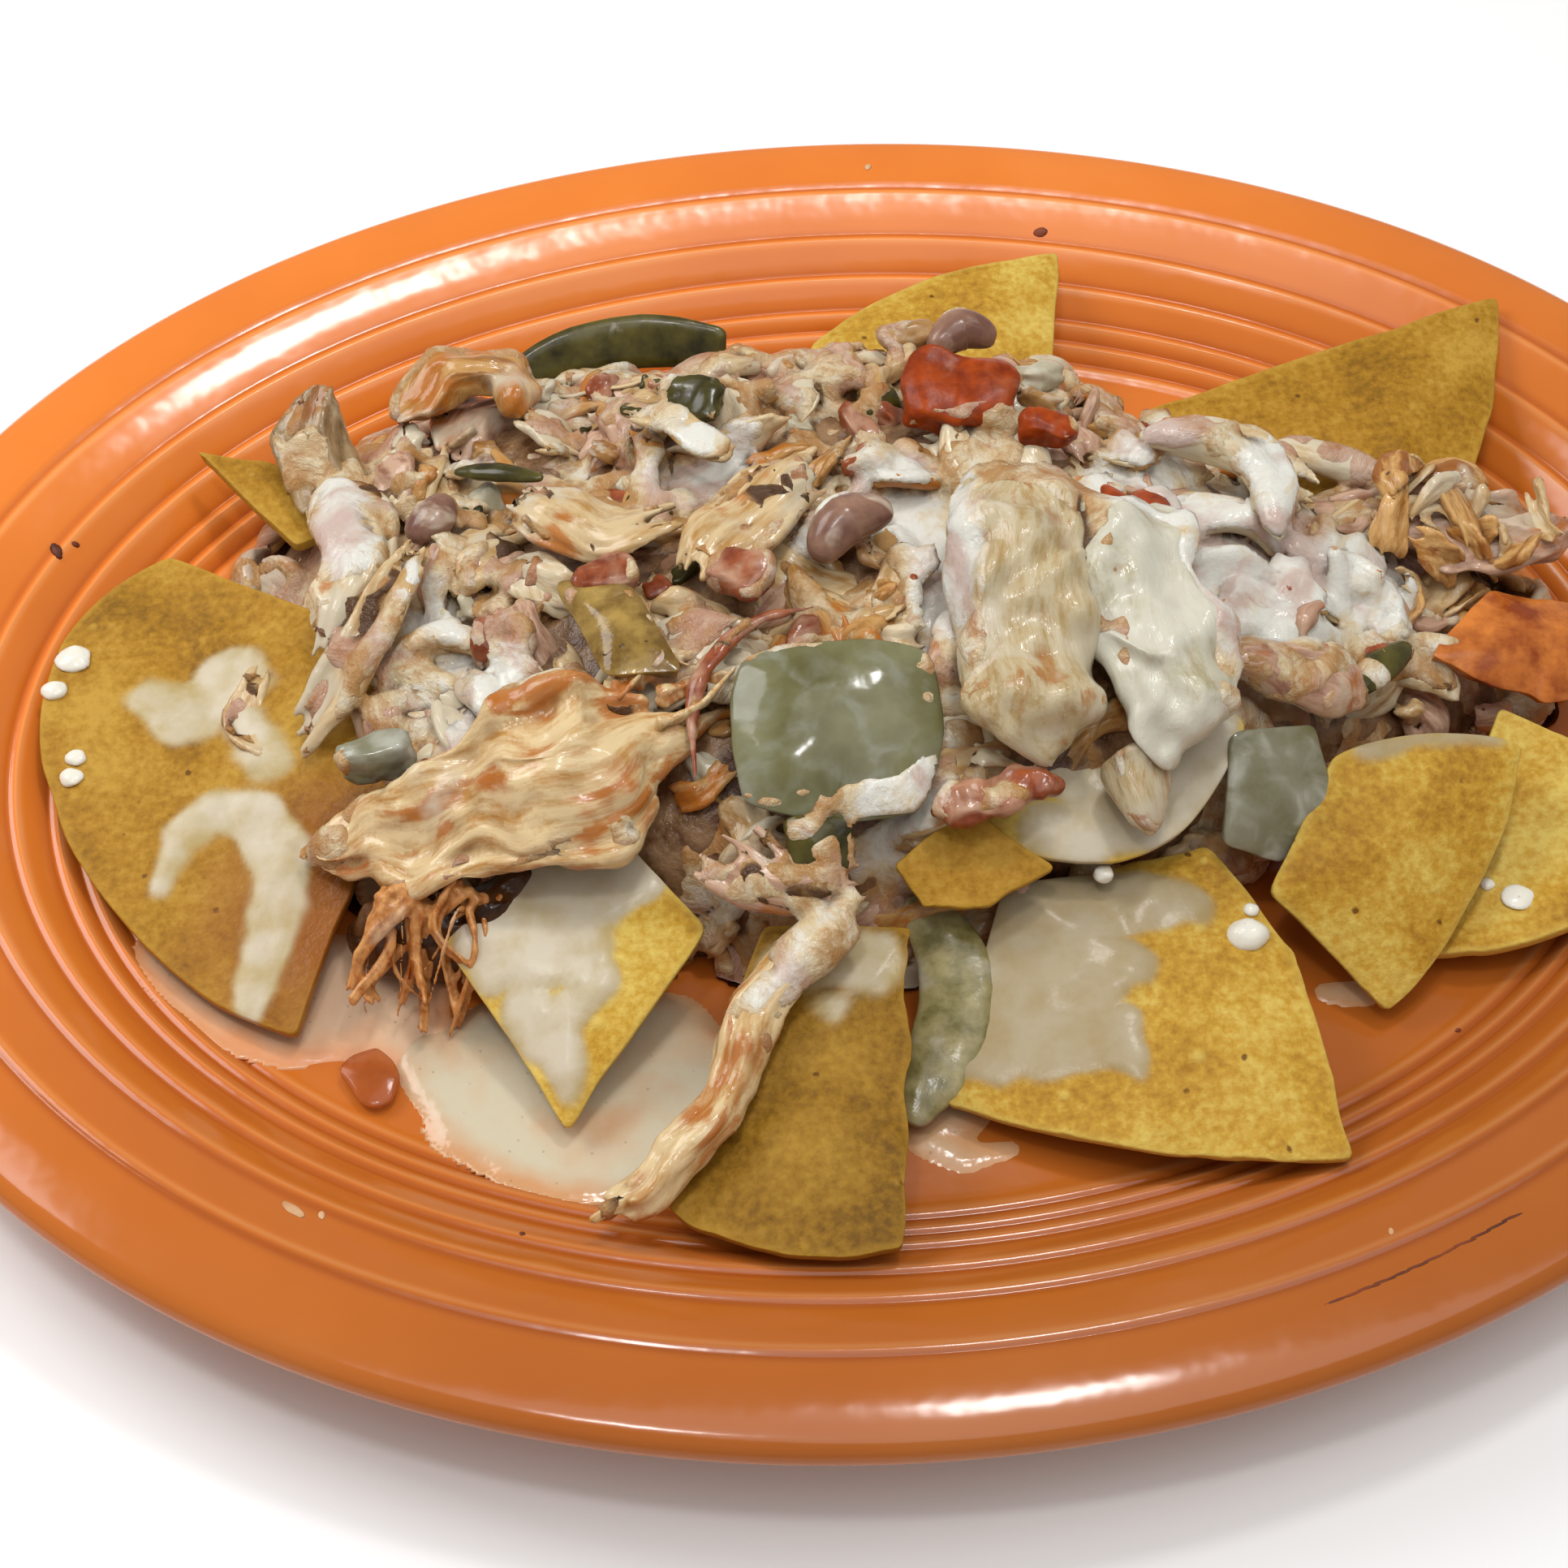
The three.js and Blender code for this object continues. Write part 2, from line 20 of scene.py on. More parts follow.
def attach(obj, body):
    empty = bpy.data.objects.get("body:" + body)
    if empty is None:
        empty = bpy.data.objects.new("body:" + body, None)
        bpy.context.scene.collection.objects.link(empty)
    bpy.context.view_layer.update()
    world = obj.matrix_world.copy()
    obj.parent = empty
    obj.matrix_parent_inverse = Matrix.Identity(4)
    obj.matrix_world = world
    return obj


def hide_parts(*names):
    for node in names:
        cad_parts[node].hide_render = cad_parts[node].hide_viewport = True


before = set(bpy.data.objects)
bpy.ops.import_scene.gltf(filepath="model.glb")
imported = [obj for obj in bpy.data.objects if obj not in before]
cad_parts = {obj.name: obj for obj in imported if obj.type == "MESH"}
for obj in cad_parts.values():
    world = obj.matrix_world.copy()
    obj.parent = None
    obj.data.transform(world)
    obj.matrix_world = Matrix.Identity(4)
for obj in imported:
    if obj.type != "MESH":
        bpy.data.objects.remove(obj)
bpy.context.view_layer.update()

LOG = logging.getLogger("nachos")
MM = 0.001

# the upper end of random headings, which is about one whole turn in radians
TURN = 6.28
# turns from one strand to the next, so that strands fill a round section evenly
GOLDEN_ANGLE = 2.39996

Point = tuple[float, float, float]
# lines seen from above, each through x, y and half width
Strokes = Sequence[Sequence[Point]]
Shape = tuple[np.ndarray, list[tuple[int, ...]]]


# ---- colour and nodes -------------------------------------------------------------------------


def linear(hex_colour: int) -> tuple[float, float, float, float]:
    """Turn an sRGB hex colour into linear RGBA.

    Args:
        hex_colour: the colour as 0xRRGGBB.

    Returns:
        Linear red, green and blue, with alpha 1.
    """
    parts = [(hex_colour >> shift & 255) / 255 for shift in (16, 8, 0)]
    red, green, blue = (c / 12.92 if c <= 0.04045 else ((c + 0.055) / 1.055) ** 2.4 for c in parts)
    return (red, green, blue, 1.0)


def add_node(tree: bpy.types.NodeTree, kind: str, settings: dict | None = None,
             links: dict | None = None) -> bpy.types.Node:
    """Add a node, set its properties and fill its sockets.

    Args:
        tree: the node tree of a material or the world.
        kind: the node's type name.
        settings: property names and values; "stops" fills a colour ramp.
        links: socket names or indices, each with a constant, another node's output, or a node
            whose first output is meant.

    Returns:
        The new node.
    """
    node = tree.nodes.new(kind)
    for name, value in (settings or {}).items():
        if name == "stops":
            elements = node.color_ramp.elements
            while len(elements) < len(value):
                elements.new(0.5)
            for element, (place, colour) in zip(elements, value):
                element.position = place
                element.color = linear(colour)
        else:
            setattr(node, name, value)
    for name, value in (links or {}).items():
        socket = node.inputs[name]
        if isinstance(value, bpy.types.Node):
            value = value.outputs[0]
        if isinstance(value, bpy.types.NodeSocket):
            tree.links.new(value, socket)
        else:
            socket.default_value = value
    return node


# ---- meshes -----------------------------------------------------------------------------------


def select_only(obj: bpy.types.Object) -> None:
    """Deselect everything, then select obj and make it active."""
    for other in bpy.context.selected_objects:
        other.select_set(False)
    obj.select_set(True)
    bpy.context.view_layer.objects.active = obj


def new_piece(name: str, shape: Shape) -> bpy.types.Object:
    """Make an object from points in millimetres.

    Args:
        name: the piece's name.
        shape: its points and its faces.

    Returns:
        The linked object, at the origin.
    """
    points, faces = shape
    mesh = bpy.data.meshes.new(name)
    mesh.from_pydata((np.asarray(points) * MM).tolist(), [], faces)
    mesh.update()
    obj = bpy.data.objects.new(name, mesh)
    bpy.context.scene.collection.objects.link(obj)
    return obj


def primitive(kind: str, **settings: float) -> bpy.types.Object:
    """Add one of Blender's primitive meshes by itself.

    Args:
        kind: which one, such as "cube" or "uv_sphere".
        settings: its sizes and counts.

    Returns:
        The new object.
    """
    bpy.ops.object.select_all(action="DESELECT")
    getattr(bpy.ops.mesh, f"primitive_{kind}_add")(**settings)
    return bpy.context.active_object


def points_of(obj: bpy.types.Object) -> np.ndarray:
    """The piece's vertices, in millimetres."""
    flat = np.zeros(len(obj.data.vertices) * 3, np.float32)
    obj.data.vertices.foreach_get("co", flat)
    return flat.reshape(-1, 3).astype(float) / MM


def normals_of(obj: bpy.types.Object) -> np.ndarray:
    """The piece's vertex normals."""
    flat = np.zeros(len(obj.data.vertices) * 3, np.float32)
    obj.data.vertices.foreach_get("normal", flat)
    return flat.reshape(-1, 3).astype(float)


def taken(obj: bpy.types.Object) -> Shape:
    """A piece's points and faces, after which the piece itself is removed."""
    points = points_of(obj)
    faces = [tuple(polygon.vertices) for polygon in obj.data.polygons]
    bpy.data.objects.remove(obj)
    return points, faces


def move_points(obj: bpy.types.Object, points: np.ndarray) -> None:
    """Put the piece's vertices at points, in millimetres."""
    obj.data.vertices.foreach_set("co", (points * MM).astype(np.float32).ravel())
    obj.data.update()


def store(obj: bpy.types.Object, name: str, values: np.ndarray) -> None:
    """Keep a number, or three, for each vertex, as an attribute that the finish reads."""
    kind, field_name = ("FLOAT", "value") if values.ndim == 1 else ("FLOAT_VECTOR", "vector")
    attribute = obj.data.attributes.new(name, kind, "POINT")
    attribute.data.foreach_set(field_name, values.astype(np.float32).ravel())


def apply_modifier(obj: bpy.types.Object, kind: str, **settings: object) -> None:
    """Add a modifier with its settings and apply it.

    Args:
        obj: the piece.
        kind: the modifier's type name.
        settings: its properties.
    """
    select_only(obj)
    modifier = obj.modifiers.new(kind.lower(), kind)
    for name, value in settings.items():
        setattr(modifier, name, value)
    bpy.ops.object.modifier_apply(modifier=modifier.name)


def face_outwards(obj: bpy.types.Object, merge: float = 0.0) -> None:
    """Merge doubles closer than merge millimetres and turn every face outwards."""
    select_only(obj)
    bpy.ops.object.mode_set(mode="EDIT")
    bpy.ops.mesh.select_all(action="SELECT")
    if merge > 0:
        bpy.ops.mesh.remove_doubles(threshold=merge * MM)
    bpy.ops.mesh.normals_make_consistent(inside=False)
    bpy.ops.object.mode_set(mode="OBJECT")


def smooth_shade(obj: bpy.types.Object, angle: float = 180.0) -> None:
    """Shade smoothly across edges flatter than angle degrees."""
    select_only(obj)
    if angle >= 180:
        bpy.ops.object.shade_smooth()
    else:
        bpy.ops.object.shade_smooth_by_angle(angle=math.radians(angle))


def closed(obj: bpy.types.Object, angle: float = 180.0) -> bpy.types.Object:
    """Turn a piece's faces outwards, shade it smoothly across angle degrees and give it back."""
    face_outwards(obj)
    smooth_shade(obj, angle)
    return obj


def eased(share: np.ndarray) -> np.ndarray:
    """Shares from 0 to 1 that start and end gently."""
    return share * share * (3 - 2 * share)


def lumps(points: np.ndarray, size: float, seed: int) -> np.ndarray:
    """A smooth uneven field, the same on every run.

    Args:
        points: places, in millimetres.
        size: how far apart the lumps are, in millimetres.
        seed: picks the field.

    Returns:
        A value between -1 and 1 for each point.
    """
    place = points / size + seed * 17.31
    cell = np.floor(place).astype(np.int64)
    part = place - cell
    ease = eased(part)
    total = np.zeros(len(points))
    for corner in np.ndindex(2, 2, 2):
        at = cell + np.array(corner)
        mixed = (at[:, 0] * 73856093) ^ (at[:, 1] * 19349663) ^ (at[:, 2] * 83492791) ^ (seed * 40503)
        mixed = ((mixed ^ (mixed >> 13)) * 1274126177) & 0x7FFFFFFF
        value = ((mixed >> 7) & 0xFFFF) / 32767.5 - 1
        total += value * np.prod(np.where(np.array(corner) == 1, ease, 1 - ease), axis=1)
    return total


def rough(points: np.ndarray, size: float, seed: int, octaves: int = 3) -> np.ndarray:
    """Lumps of size with finer lumps on them, between about -1 and 1."""
    layers = [lumps(points, size / 2 ** k, seed + k) * 0.5 ** k for k in range(octaves)]
    return sum(layers) / sum(0.5 ** k for k in range(octaves))


def warped(points: np.ndarray, size: float, amount: float, seed: int) -> np.ndarray:
    """Points pushed about by up to amount millimetres, alike for points closer than size."""
    push = np.stack([lumps(points, size, seed + 11 * k) for k in range(3)], axis=1)
    return points + amount * push


def hollows(obj: bpy.types.Object, spread: int = 8) -> np.ndarray:
    """How hollow the surface is at each vertex, in millimetres: above 0 in creases, below on ridges.

    Args:
        obj: the piece.
        spread: how many rings of neighbours are compared.

    Returns:
        A value for each vertex.
    """
    ends = np.zeros(len(obj.data.edges) * 2, np.int32)
    obj.data.edges.foreach_get("vertices", ends)
    first, second = ends.reshape(-1, 2).T
    points = points_of(obj)
    count = len(points)
    degree = np.maximum(np.bincount(ends, minlength=count), 1)[:, None]
    even = points.copy()
    for _ in range(spread):
        total = [np.bincount(first, even[second, k], count) + np.bincount(second, even[first, k], count)
                 for k in range(3)]
        even = (even + np.stack(total, axis=1) / degree) / 2
    return ((even - points) * normals_of(obj)).sum(1)


def keep_largest(obj: bpy.types.Object) -> None:
    """Delete every loose part of a mesh but the largest, such as the walls of closed-in gaps."""
    ends = np.zeros(len(obj.data.edges) * 2, np.int32)
    obj.data.edges.foreach_get("vertices", ends)
    first, second = ends.reshape(-1, 2).T
    label = np.arange(len(obj.data.vertices))
    while True:
        least = np.minimum(label[first], label[second])
        if (label[first] == label[second]).all():
            break
        np.minimum.at(label, label[first], least)
        np.minimum.at(label, label[second], least)
        label = label[label]
    largest = np.bincount(label).argmax()
    select_only(obj)
    bpy.ops.object.mode_set(mode="EDIT")
    bpy.ops.mesh.select_all(action="DESELECT")
    bpy.ops.object.mode_set(mode="OBJECT")
    obj.data.vertices.foreach_set("select", label != largest)
    bpy.ops.object.mode_set(mode="EDIT")
    bpy.ops.mesh.delete(type="VERT")
    bpy.ops.object.mode_set(mode="OBJECT")


def inside_strokes(points: np.ndarray, strokes: Strokes) -> np.ndarray:
    """How far each point lies inside a set of strokes, seen from above.

    Args:
        points: places, in millimetres.
        strokes: each a line through x, y and half width; a single point is a round blob.

    Returns:
        Millimetres inside the nearest edge, below 0 outside.
    """
    best = np.full(len(points), -99.0)
    for stroke in strokes:
        for start, end in zip(stroke, stroke[1:] or stroke):
            a, b = np.array(start), np.array(end)
            length = max(float(((b - a)[:2] ** 2).sum()), 1e-9)
            t = np.clip(((points[:, :2] - a[:2]) @ (b - a)[:2]) / length, 0, 1)
            nearest = a[:2] + t[:, None] * (b - a)[:2]
            away = np.linalg.norm(points[:, :2] - nearest, axis=1)
            best = np.maximum(best, a[2] + (b[2] - a[2]) * t - away)
    return best


def spline(points: Sequence[Point], steps: int) -> np.ndarray:
    """A smooth path through points, evenly spaced along its length.

    Args:
        points: the places it passes through, in millimetres.
        steps: how many points to give back.

    Returns:
        The path's points.
    """
    knots = np.array(points, float)
    knots = np.vstack([2 * knots[0] - knots[1], knots, 2 * knots[-1] - knots[-2]])
    place = np.linspace(0, len(points) - 1, 12 * len(points))
    index = np.minimum(place.astype(int), len(points) - 2)
    f = (place - index)[:, None]
    a, b, c, d = (knots[index + k] for k in range(4))
    curve = 0.5 * (2 * b + (c - a) * f + (2 * a - 5 * b + 4 * c - d) * f ** 2
                   + (3 * b - a - 3 * c + d) * f ** 3)
    run = np.concatenate([[0], np.cumsum(np.linalg.norm(np.diff(curve, axis=0), axis=1))])
    even = np.linspace(0, run[-1], steps)
    return np.stack([np.interp(even, run, curve[:, k]) for k in range(3)], axis=1)


def listed(values: Sequence[float], place: np.ndarray) -> np.ndarray:
    """Read a list of evenly spaced values at places from 0 to 1."""
    return np.interp(place, np.linspace(0, 1, len(values)), values)


def unit(vectors: np.ndarray) -> np.ndarray:
    """Vectors scaled to length 1."""
    return vectors / np.maximum(np.linalg.norm(vectors, axis=-1, keepdims=True), 1e-9)


def path_frame(points: Sequence[Point], facing: Point,
               steps: int) -> tuple[np.ndarray, np.ndarray, np.ndarray]:
    """A smooth path with its sideways and upward directions.

    Args:
        points: the places it passes through, in millimetres.
        facing: the way that its upper side looks.
        steps: how many points to give back.

    Returns:
        The path, the directions across it and the directions up from it.
    """
    path = spline(points, steps)
    tangent = unit(np.gradient(path, axis=0))
    across = unit(np.cross(tangent, np.array(facing, float)))
    return path, across, np.cross(across, tangent)


def turned(points: np.ndarray, first: int, second: int, angle: float) -> np.ndarray:
    """Points turned by angle radians from the first axis towards the second."""
    result = points.copy()
    result[:, first] = points[:, first] * math.cos(angle) - points[:, second] * math.sin(angle)
    result[:, second] = points[:, first] * math.sin(angle) + points[:, second] * math.cos(angle)
    return result


def axes_for(up: np.ndarray, heading: float, lean: float = 0.0) -> np.ndarray:
    """The axes, as rows, of a piece that stands along up and points towards heading."""
    side = unit(np.cross(up, [math.cos(heading), math.sin(heading), lean]))
    return np.stack([np.cross(side, up), side, up])


def tube(path: np.ndarray, radii: np.ndarray, reference: np.ndarray, sides: int = 7,
         flat: float = 1.0) -> Shape:
    """A closed tapering tube.

    Args:
        path: its middle line.
        radii: its half width at each point of the path.
        reference: the way its flat side faces.
        sides: how many sides it has.
        flat: its thickness as a share of its width.

    Returns:
        Its points and faces.
    """
    tangent = unit(np.gradient(path, axis=0))
    across = unit(np.cross(tangent, reference))
    up = np.cross(across, tangent)
    turn = 2 * np.pi * np.arange(sides) / sides
    wide, high = np.cos(turn)[None, :, None], flat * np.sin(turn)[None, :, None]
    ring = wide * across[:, None] + high * up[:, None]
    points = (path[:, None] + radii[:, None, None] * ring).reshape(-1, 3)
    ends = [path[0] - tangent[0] * radii[0] * 0.5, path[-1] + tangent[-1] * radii[-1] * 0.5]
    first, last = len(points), len(points) + 1
    faces: list[tuple[int, ...]] = []
    for i in range(len(path) - 1):
        for j in range(sides):
            k = (j + 1) % sides
            faces.append((i * sides + k, i * sides + j, (i + 1) * sides + j, (i + 1) * sides + k))
    base = (len(path) - 1) * sides
    for j in range(sides):
        k = (j + 1) % sides
        faces.append((first, j, k))
        faces.append((last, base + k, base + j))
    return np.vstack([points, ends]), faces


def joined(shapes: Iterable[Shape]) -> Shape:
    """Put several shapes into one list of points and one of faces."""
    points, faces, start = [], [], 0
    for some_points, some_faces in shapes:
        points.append(some_points)
        faces.extend(tuple(i + start for i in face) for face in some_faces)
        start += len(some_points)
    return np.vstack(points), faces


# ---- finishes ---------------------------------------------------------------------------------


def per(size: float) -> float:
    """The scale of a pattern whose grain is size millimetres."""
    return 1 / (size * MM)


class Painter:
    """Adds the nodes that the finishes share. Each call gives back a node, or the output of it
    that is used. A colour may be given as sRGB hex."""

    def __init__(self, tree: bpy.types.NodeTree) -> None:
        """Start on an empty tree, with the object's own coordinates at hand."""
        self.tree = tree
        self.place = self.add("TexCoord").outputs["Object"]

    def add(self, kind: str, settings: dict | None = None, links: dict | None = None) -> bpy.types.Node:
        """Add a shader node of any kind."""
        return add_node(self.tree, "ShaderNode" + kind, settings, links)

    def attribute(self, name: str, output: str = "Fac") -> bpy.types.NodeSocket:
        """A value that the mesh carries."""
        return self.add("Attribute", {"attribute_name": name}).outputs[output]

    def noise(self, scale: float, detail: float, at: object = None, roughness: float = 0.5,
              distortion: float = 0.0) -> bpy.types.Node:
        """Clouds, on the object's coordinates or at the given places."""
        return self.add("TexNoise", links={
            "Vector": at or self.place, "Scale": scale, "Detail": detail, "Roughness": roughness,
            "Distortion": distortion})

    def cells(self, scale: float, at: object = None) -> bpy.types.Node:
        """Random cells, as their distance and colour."""
        return self.add("TexVoronoi", links={"Vector": at or self.place, "Scale": scale})

    def span(self, value: object, low: object, high: float, start: float = 0.0, end: float = 1.0,
             smooth: bool = True) -> bpy.types.Node:
        """Carry a value from low..high over to start..end, held at both ends."""
        kind = "SMOOTHSTEP" if smooth else "LINEAR"
        return self.add("MapRange", {"interpolation_type": kind}, {
            "Value": value, "From Min": low, "From Max": high, "To Min": start, "To Max": end})

    def ramp(self, value: object, *stops: tuple[float, int]) -> bpy.types.Node:
        """Colours along a value."""
        return self.add("ValToRGB", {"stops": stops}, {"Fac": value})

    def mix(self, share: object, first: object, second: object) -> bpy.types.NodeSocket:
        """Go from the first colour to the second by share."""
        first, second = (linear(c) if isinstance(c, int) else c for c in (first, second))
        return self.add("Mix", {"data_type": "RGBA"}, {0: share, 6: first, 7: second}).outputs[2]

    def math(self, operation: str, *values: object, clamp: bool = False) -> bpy.types.Node:
        """Reckon with numbers."""
        return self.add("Math", {"operation": operation, "use_clamp": clamp}, dict(enumerate(values)))

    def vector(self, operation: str, *values: object) -> bpy.types.Node:
        """Reckon with places or colours."""
        return self.add("VectorMath", {"operation": operation}, dict(enumerate(values)))

    def scaled(self, value: object, factor: object) -> bpy.types.Node:
        """A place or colour times a number."""
        return self.add("VectorMath", {"operation": "SCALE"}, {0: value, "Scale": factor})

    def bump(self, height: object, strength: object, depth: float) -> bpy.types.Node:
        """Fine relief, depth millimetres deep."""
        return self.add("Bump", links={"Height": height, "Strength": strength, "Distance": depth * MM})

    def surface(self, colour: object, normal: object, roughness: object, ior: float, specular: float = 0.5,
                alpha: float = 1.0, soft: tuple[float, Point, float] | None = None) -> bpy.types.Node:
        """The shader of a finish.

        Args:
            colour: its colour.
            normal: its relief.
            roughness: how dull its gloss is.
            ior: how strongly it bends light.
            specular: how strong its gloss is.
            alpha: how opaque it is.
            soft: the share of light that enters it, how far each colour goes, and the scale in millimetres.

        Returns:
            The shader node.
        """
        links = {"Base Color": colour, "Normal": normal, "Roughness": roughness, "IOR": ior,
                 "Specular IOR Level": specular, "Alpha": alpha}
        if soft is not None:
            weight, radius, scale = soft
            links |= {"Subsurface Weight": weight, "Subsurface Radius": radius,
                      "Subsurface Scale": scale * MM}
        return self.add("BsdfPrincipled", links=links)


@dataclass(frozen=True)
class Finish:
    """What a surface is made of. A kind of finish paints its own node tree."""

    name: str

    def paint(self, paint: Painter) -> bpy.types.Node:
        """Build the nodes and return the shader."""
        raise NotImplementedError

    def material(self) -> bpy.types.Material:
        """The material, made the first time that it is asked for."""
        made = bpy.data.materials.get(self.name)
        if made is not None:
            return made
        made = bpy.data.materials.new(self.name)
        made.use_nodes = True
        made.node_tree.nodes.clear()
        shader = self.paint(Painter(made.node_tree))
        add_node(made.node_tree, "ShaderNodeOutputMaterial", links={"Surface": shader})
        return made

    def dress(self, obj: bpy.types.Object, slot: str, *nodes: str) -> bpy.types.Object:
        """Give a piece this finish, hang it under the root and hide the CAD nodes that it stands for.

        Args:
            obj: the piece.
            slot: not used.
            nodes: the CAD nodes that it stands for.

        Returns:
            The piece.
        """
        obj.data.materials.clear()
        obj.data.materials.append(self.material())
        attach(obj, "root")
        if nodes:
            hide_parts(*nodes)
        LOG.info("%s: %d faces, %s", obj.name, len(obj.data.polygons), self.name)
        return obj


@dataclass(frozen=True)
class GlazedStoneware(Finish):
    """Stoneware under an opaque orange glaze: the glaze thins to a paler line on each crest and
    gathers darker in each cove, its surface is glassy, and painted shade darkens it towards one
    end, where the light falls off."""

    body: int = 0xE07C2E
    crest: int = 0xEE9A58
    cove: int = 0xC4621F
    # how bright the glaze is painted at its shaded end and at its lit end
    shaded_end: float = 0.54
    lit_end: float = 1.03

    def paint(self, paint: Painter) -> bpy.types.Node:
        """Build the nodes and return the shader."""
        flow = paint.span(paint.noise(per(40), 3.0), 0.3, 0.7, -0.1, 0.1, smooth=False)
        level = paint.math("ADD", paint.attribute("ring"), flow)
        colour = paint.ramp(level, (0.0, self.cove), (0.5, self.body), (1.0, self.crest))
        axes = paint.add("SeparateXYZ", links={"Vector": paint.place})
        # painted shade: the colour falls off towards the front right, as the light does there
        drift = paint.math("MULTIPLY_ADD", axes.outputs["X"], -0.45, axes.outputs["Y"])
        shade_falloff = paint.span(drift, -170 * MM, 120 * MM, self.shaded_end, self.lit_end)
        ripple = paint.bump(paint.noise(per(9), 2.0), 0.12, 1.0)
        return paint.surface(paint.scaled(colour, shade_falloff), ripple, roughness=0.14, ior=1.5, specular=0.4)


@dataclass(frozen=True)
class FriedCorn(Finish):
    """Fried corn masa: a fine grainy golden crust with small pale round blisters and toasted brown
    flecks, lighter along its cut edge. Where sauce soaked in it is a wet orange brown, and where
    queso lies on it a glossy grey cream that thins out into the crust."""

    crust: int = 0xA4761E
    deep: int = 0x825A14
    pale: int = 0xBC9238
    fleck: int = 0x5A3208
    soaked: int = 0x8E5018
    queso: int = 0xCDC3AE
    thin_queso: int = 0xB4A070

    def paint(self, paint: Painter) -> bpy.types.Node:
        """Build the nodes and return the shader."""
        grain = paint.noise(per(1.5), 4.0, roughness=0.6)
        clouds = paint.math("MULTIPLY", paint.noise(per(17), 3.0), 0.55)
        both = paint.math("MULTIPLY_ADD", grain, 0.45, clouds)
        base = paint.ramp(both, (0.36, self.deep), (0.49, self.crust), (0.64, self.pale))
        wobble = paint.vector("ADD", paint.place, paint.scaled(grain.outputs["Color"], 1.2 * MM))
        blisters = paint.cells(per(7.5), wobble)
        size = paint.math("MULTIPLY_ADD", blisters.outputs["Color"], 0.2, 0.07)
        dome = paint.span(blisters, size, 0.03)
        tops = paint.mix(paint.math("MULTIPLY", dome, 0.7), base, self.pale)
        edge = paint.mix(paint.attribute("rim"), tops, self.pale)
        toasted = paint.span(paint.cells(per(8), wobble), 0.09, 0.04, 0.0, 0.85)
        flecked = paint.mix(toasted, edge, self.fleck)
        soak, sauce = paint.attribute("soak"), paint.attribute("sauce")
        wet = paint.mix(soak, flecked, self.soaked)
        level = paint.span(paint.noise(per(6), 4.0), 0.3, 0.7, -0.6, 0.3, smooth=False)
        depth = paint.math("ADD", sauce, level, clamp=True)
        cover = paint.span(sauce, 0.02, 0.55, 0.0, 0.96)
        sauced = paint.mix(cover, wet, paint.mix(depth, self.thin_queso, self.queso))
        gloss = paint.math("MAXIMUM", soak, cover)
        shine = paint.span(gloss, 0.0, 1.0, 0.55, 0.2, smooth=False)
        fine = paint.math("MULTIPLY_ADD", dome, 0.6, grain)
        dry = paint.math("MULTIPLY_ADD", cover, -0.5, 0.6)
        return paint.surface(sauced, paint.bump(fine, dry, 0.5), roughness=shine, ior=1.45, specular=0.18)


@dataclass(frozen=True)
class PulledChicken(Finish):
    """Stewed chicken pulled along its fibres: cream meat, ochre where it browned, browner in its
    creases, partly from stain and partly as painted shade, and orange where the spice clings, in
    streaks that run with the fibres, all wet."""

    cream: int = 0xCDB48A
    ochre: int = 0xAC8248
    spice: int = 0xB0661F
    # the brown of the creases: partly stain gathered there, partly painted shade
    stain_and_crease_shade: int = 0x8F5F2C
    sauce: int = 0xC9BFA8
    spiced: float = 0.25
    sauced: float = 0.5

    def paint(self, paint: Painter) -> bpy.types.Node:
        """Build the nodes and return the shader."""
        fibre = paint.attribute("fibre", "Vector")
        streak = paint.noise(1.0, 4.0, fibre, roughness=0.65)
        meat = paint.ramp(streak, (0.34, self.ochre), (0.56, self.cream))
        cling = paint.noise(0.7, 5.0, fibre, roughness=0.6, distortion=0.5)
        both = paint.math("MULTIPLY", cling, paint.noise(per(11), 2.0))
        # painted shade: the creases are mixed towards brown, partly as stain and partly as shade
        crease = paint.span(paint.attribute("hollow"), 0.02, 0.3, 0.0, 0.75)
        stained_and_shaded = paint.mix(crease, meat, self.stain_and_crease_shade)
        wider = 0.16 * self.spiced
        spiced = paint.mix(paint.span(both, 0.36 - wider, 0.46 - wider, 0.0, 0.85), stained_and_shaded, self.spice)
        coat = paint.noise(per(16), 4.0, distortion=0.4)
        wider = 0.22 * self.sauced
        coated = paint.mix(paint.span(coat, 0.62 - wider, 0.78 - wider, 0.0, 0.8), spiced, self.sauce)
        return paint.surface(coated, paint.bump(streak, 0.45, 0.5), roughness=0.15, ior=1.4,
                             soft=(0.15, (1.0, 0.6, 0.35), 1.2))


@dataclass(frozen=True)
class Queso(Finish):
    """Thin white cheese sauce: a glossy grey cream where it is deep, tinted by what lies below it
    where it is thin, with fine dark spice flecks."""

    deep: int = 0xDAD5C6
    thin: int = 0xC4B594
    fleck: int = 0x6E5A3C

    def paint(self, paint: Painter) -> bpy.types.Node:
        """Build the nodes and return the shader."""
        level = paint.span(paint.noise(per(9), 4.0), 0.3, 0.7, -0.25, 0.25, smooth=False)
        mixed = paint.math("ADD", paint.attribute("depth"), level, clamp=True)
        colour = paint.ramp(mixed, (0.1, self.thin), (0.9, self.deep))
        dots = paint.span(paint.cells(per(2.6)), 0.06, 0.12, 0.3, 0.0, smooth=False)
        flecked = paint.mix(dots, colour, self.fleck)
        wobble = paint.bump(paint.noise(per(3), 2.0), 0.3, 0.6)
        return paint.surface(flecked, wobble, roughness=0.16, ior=1.42, soft=(0.15, (1.0, 0.9, 0.7), 1.2))


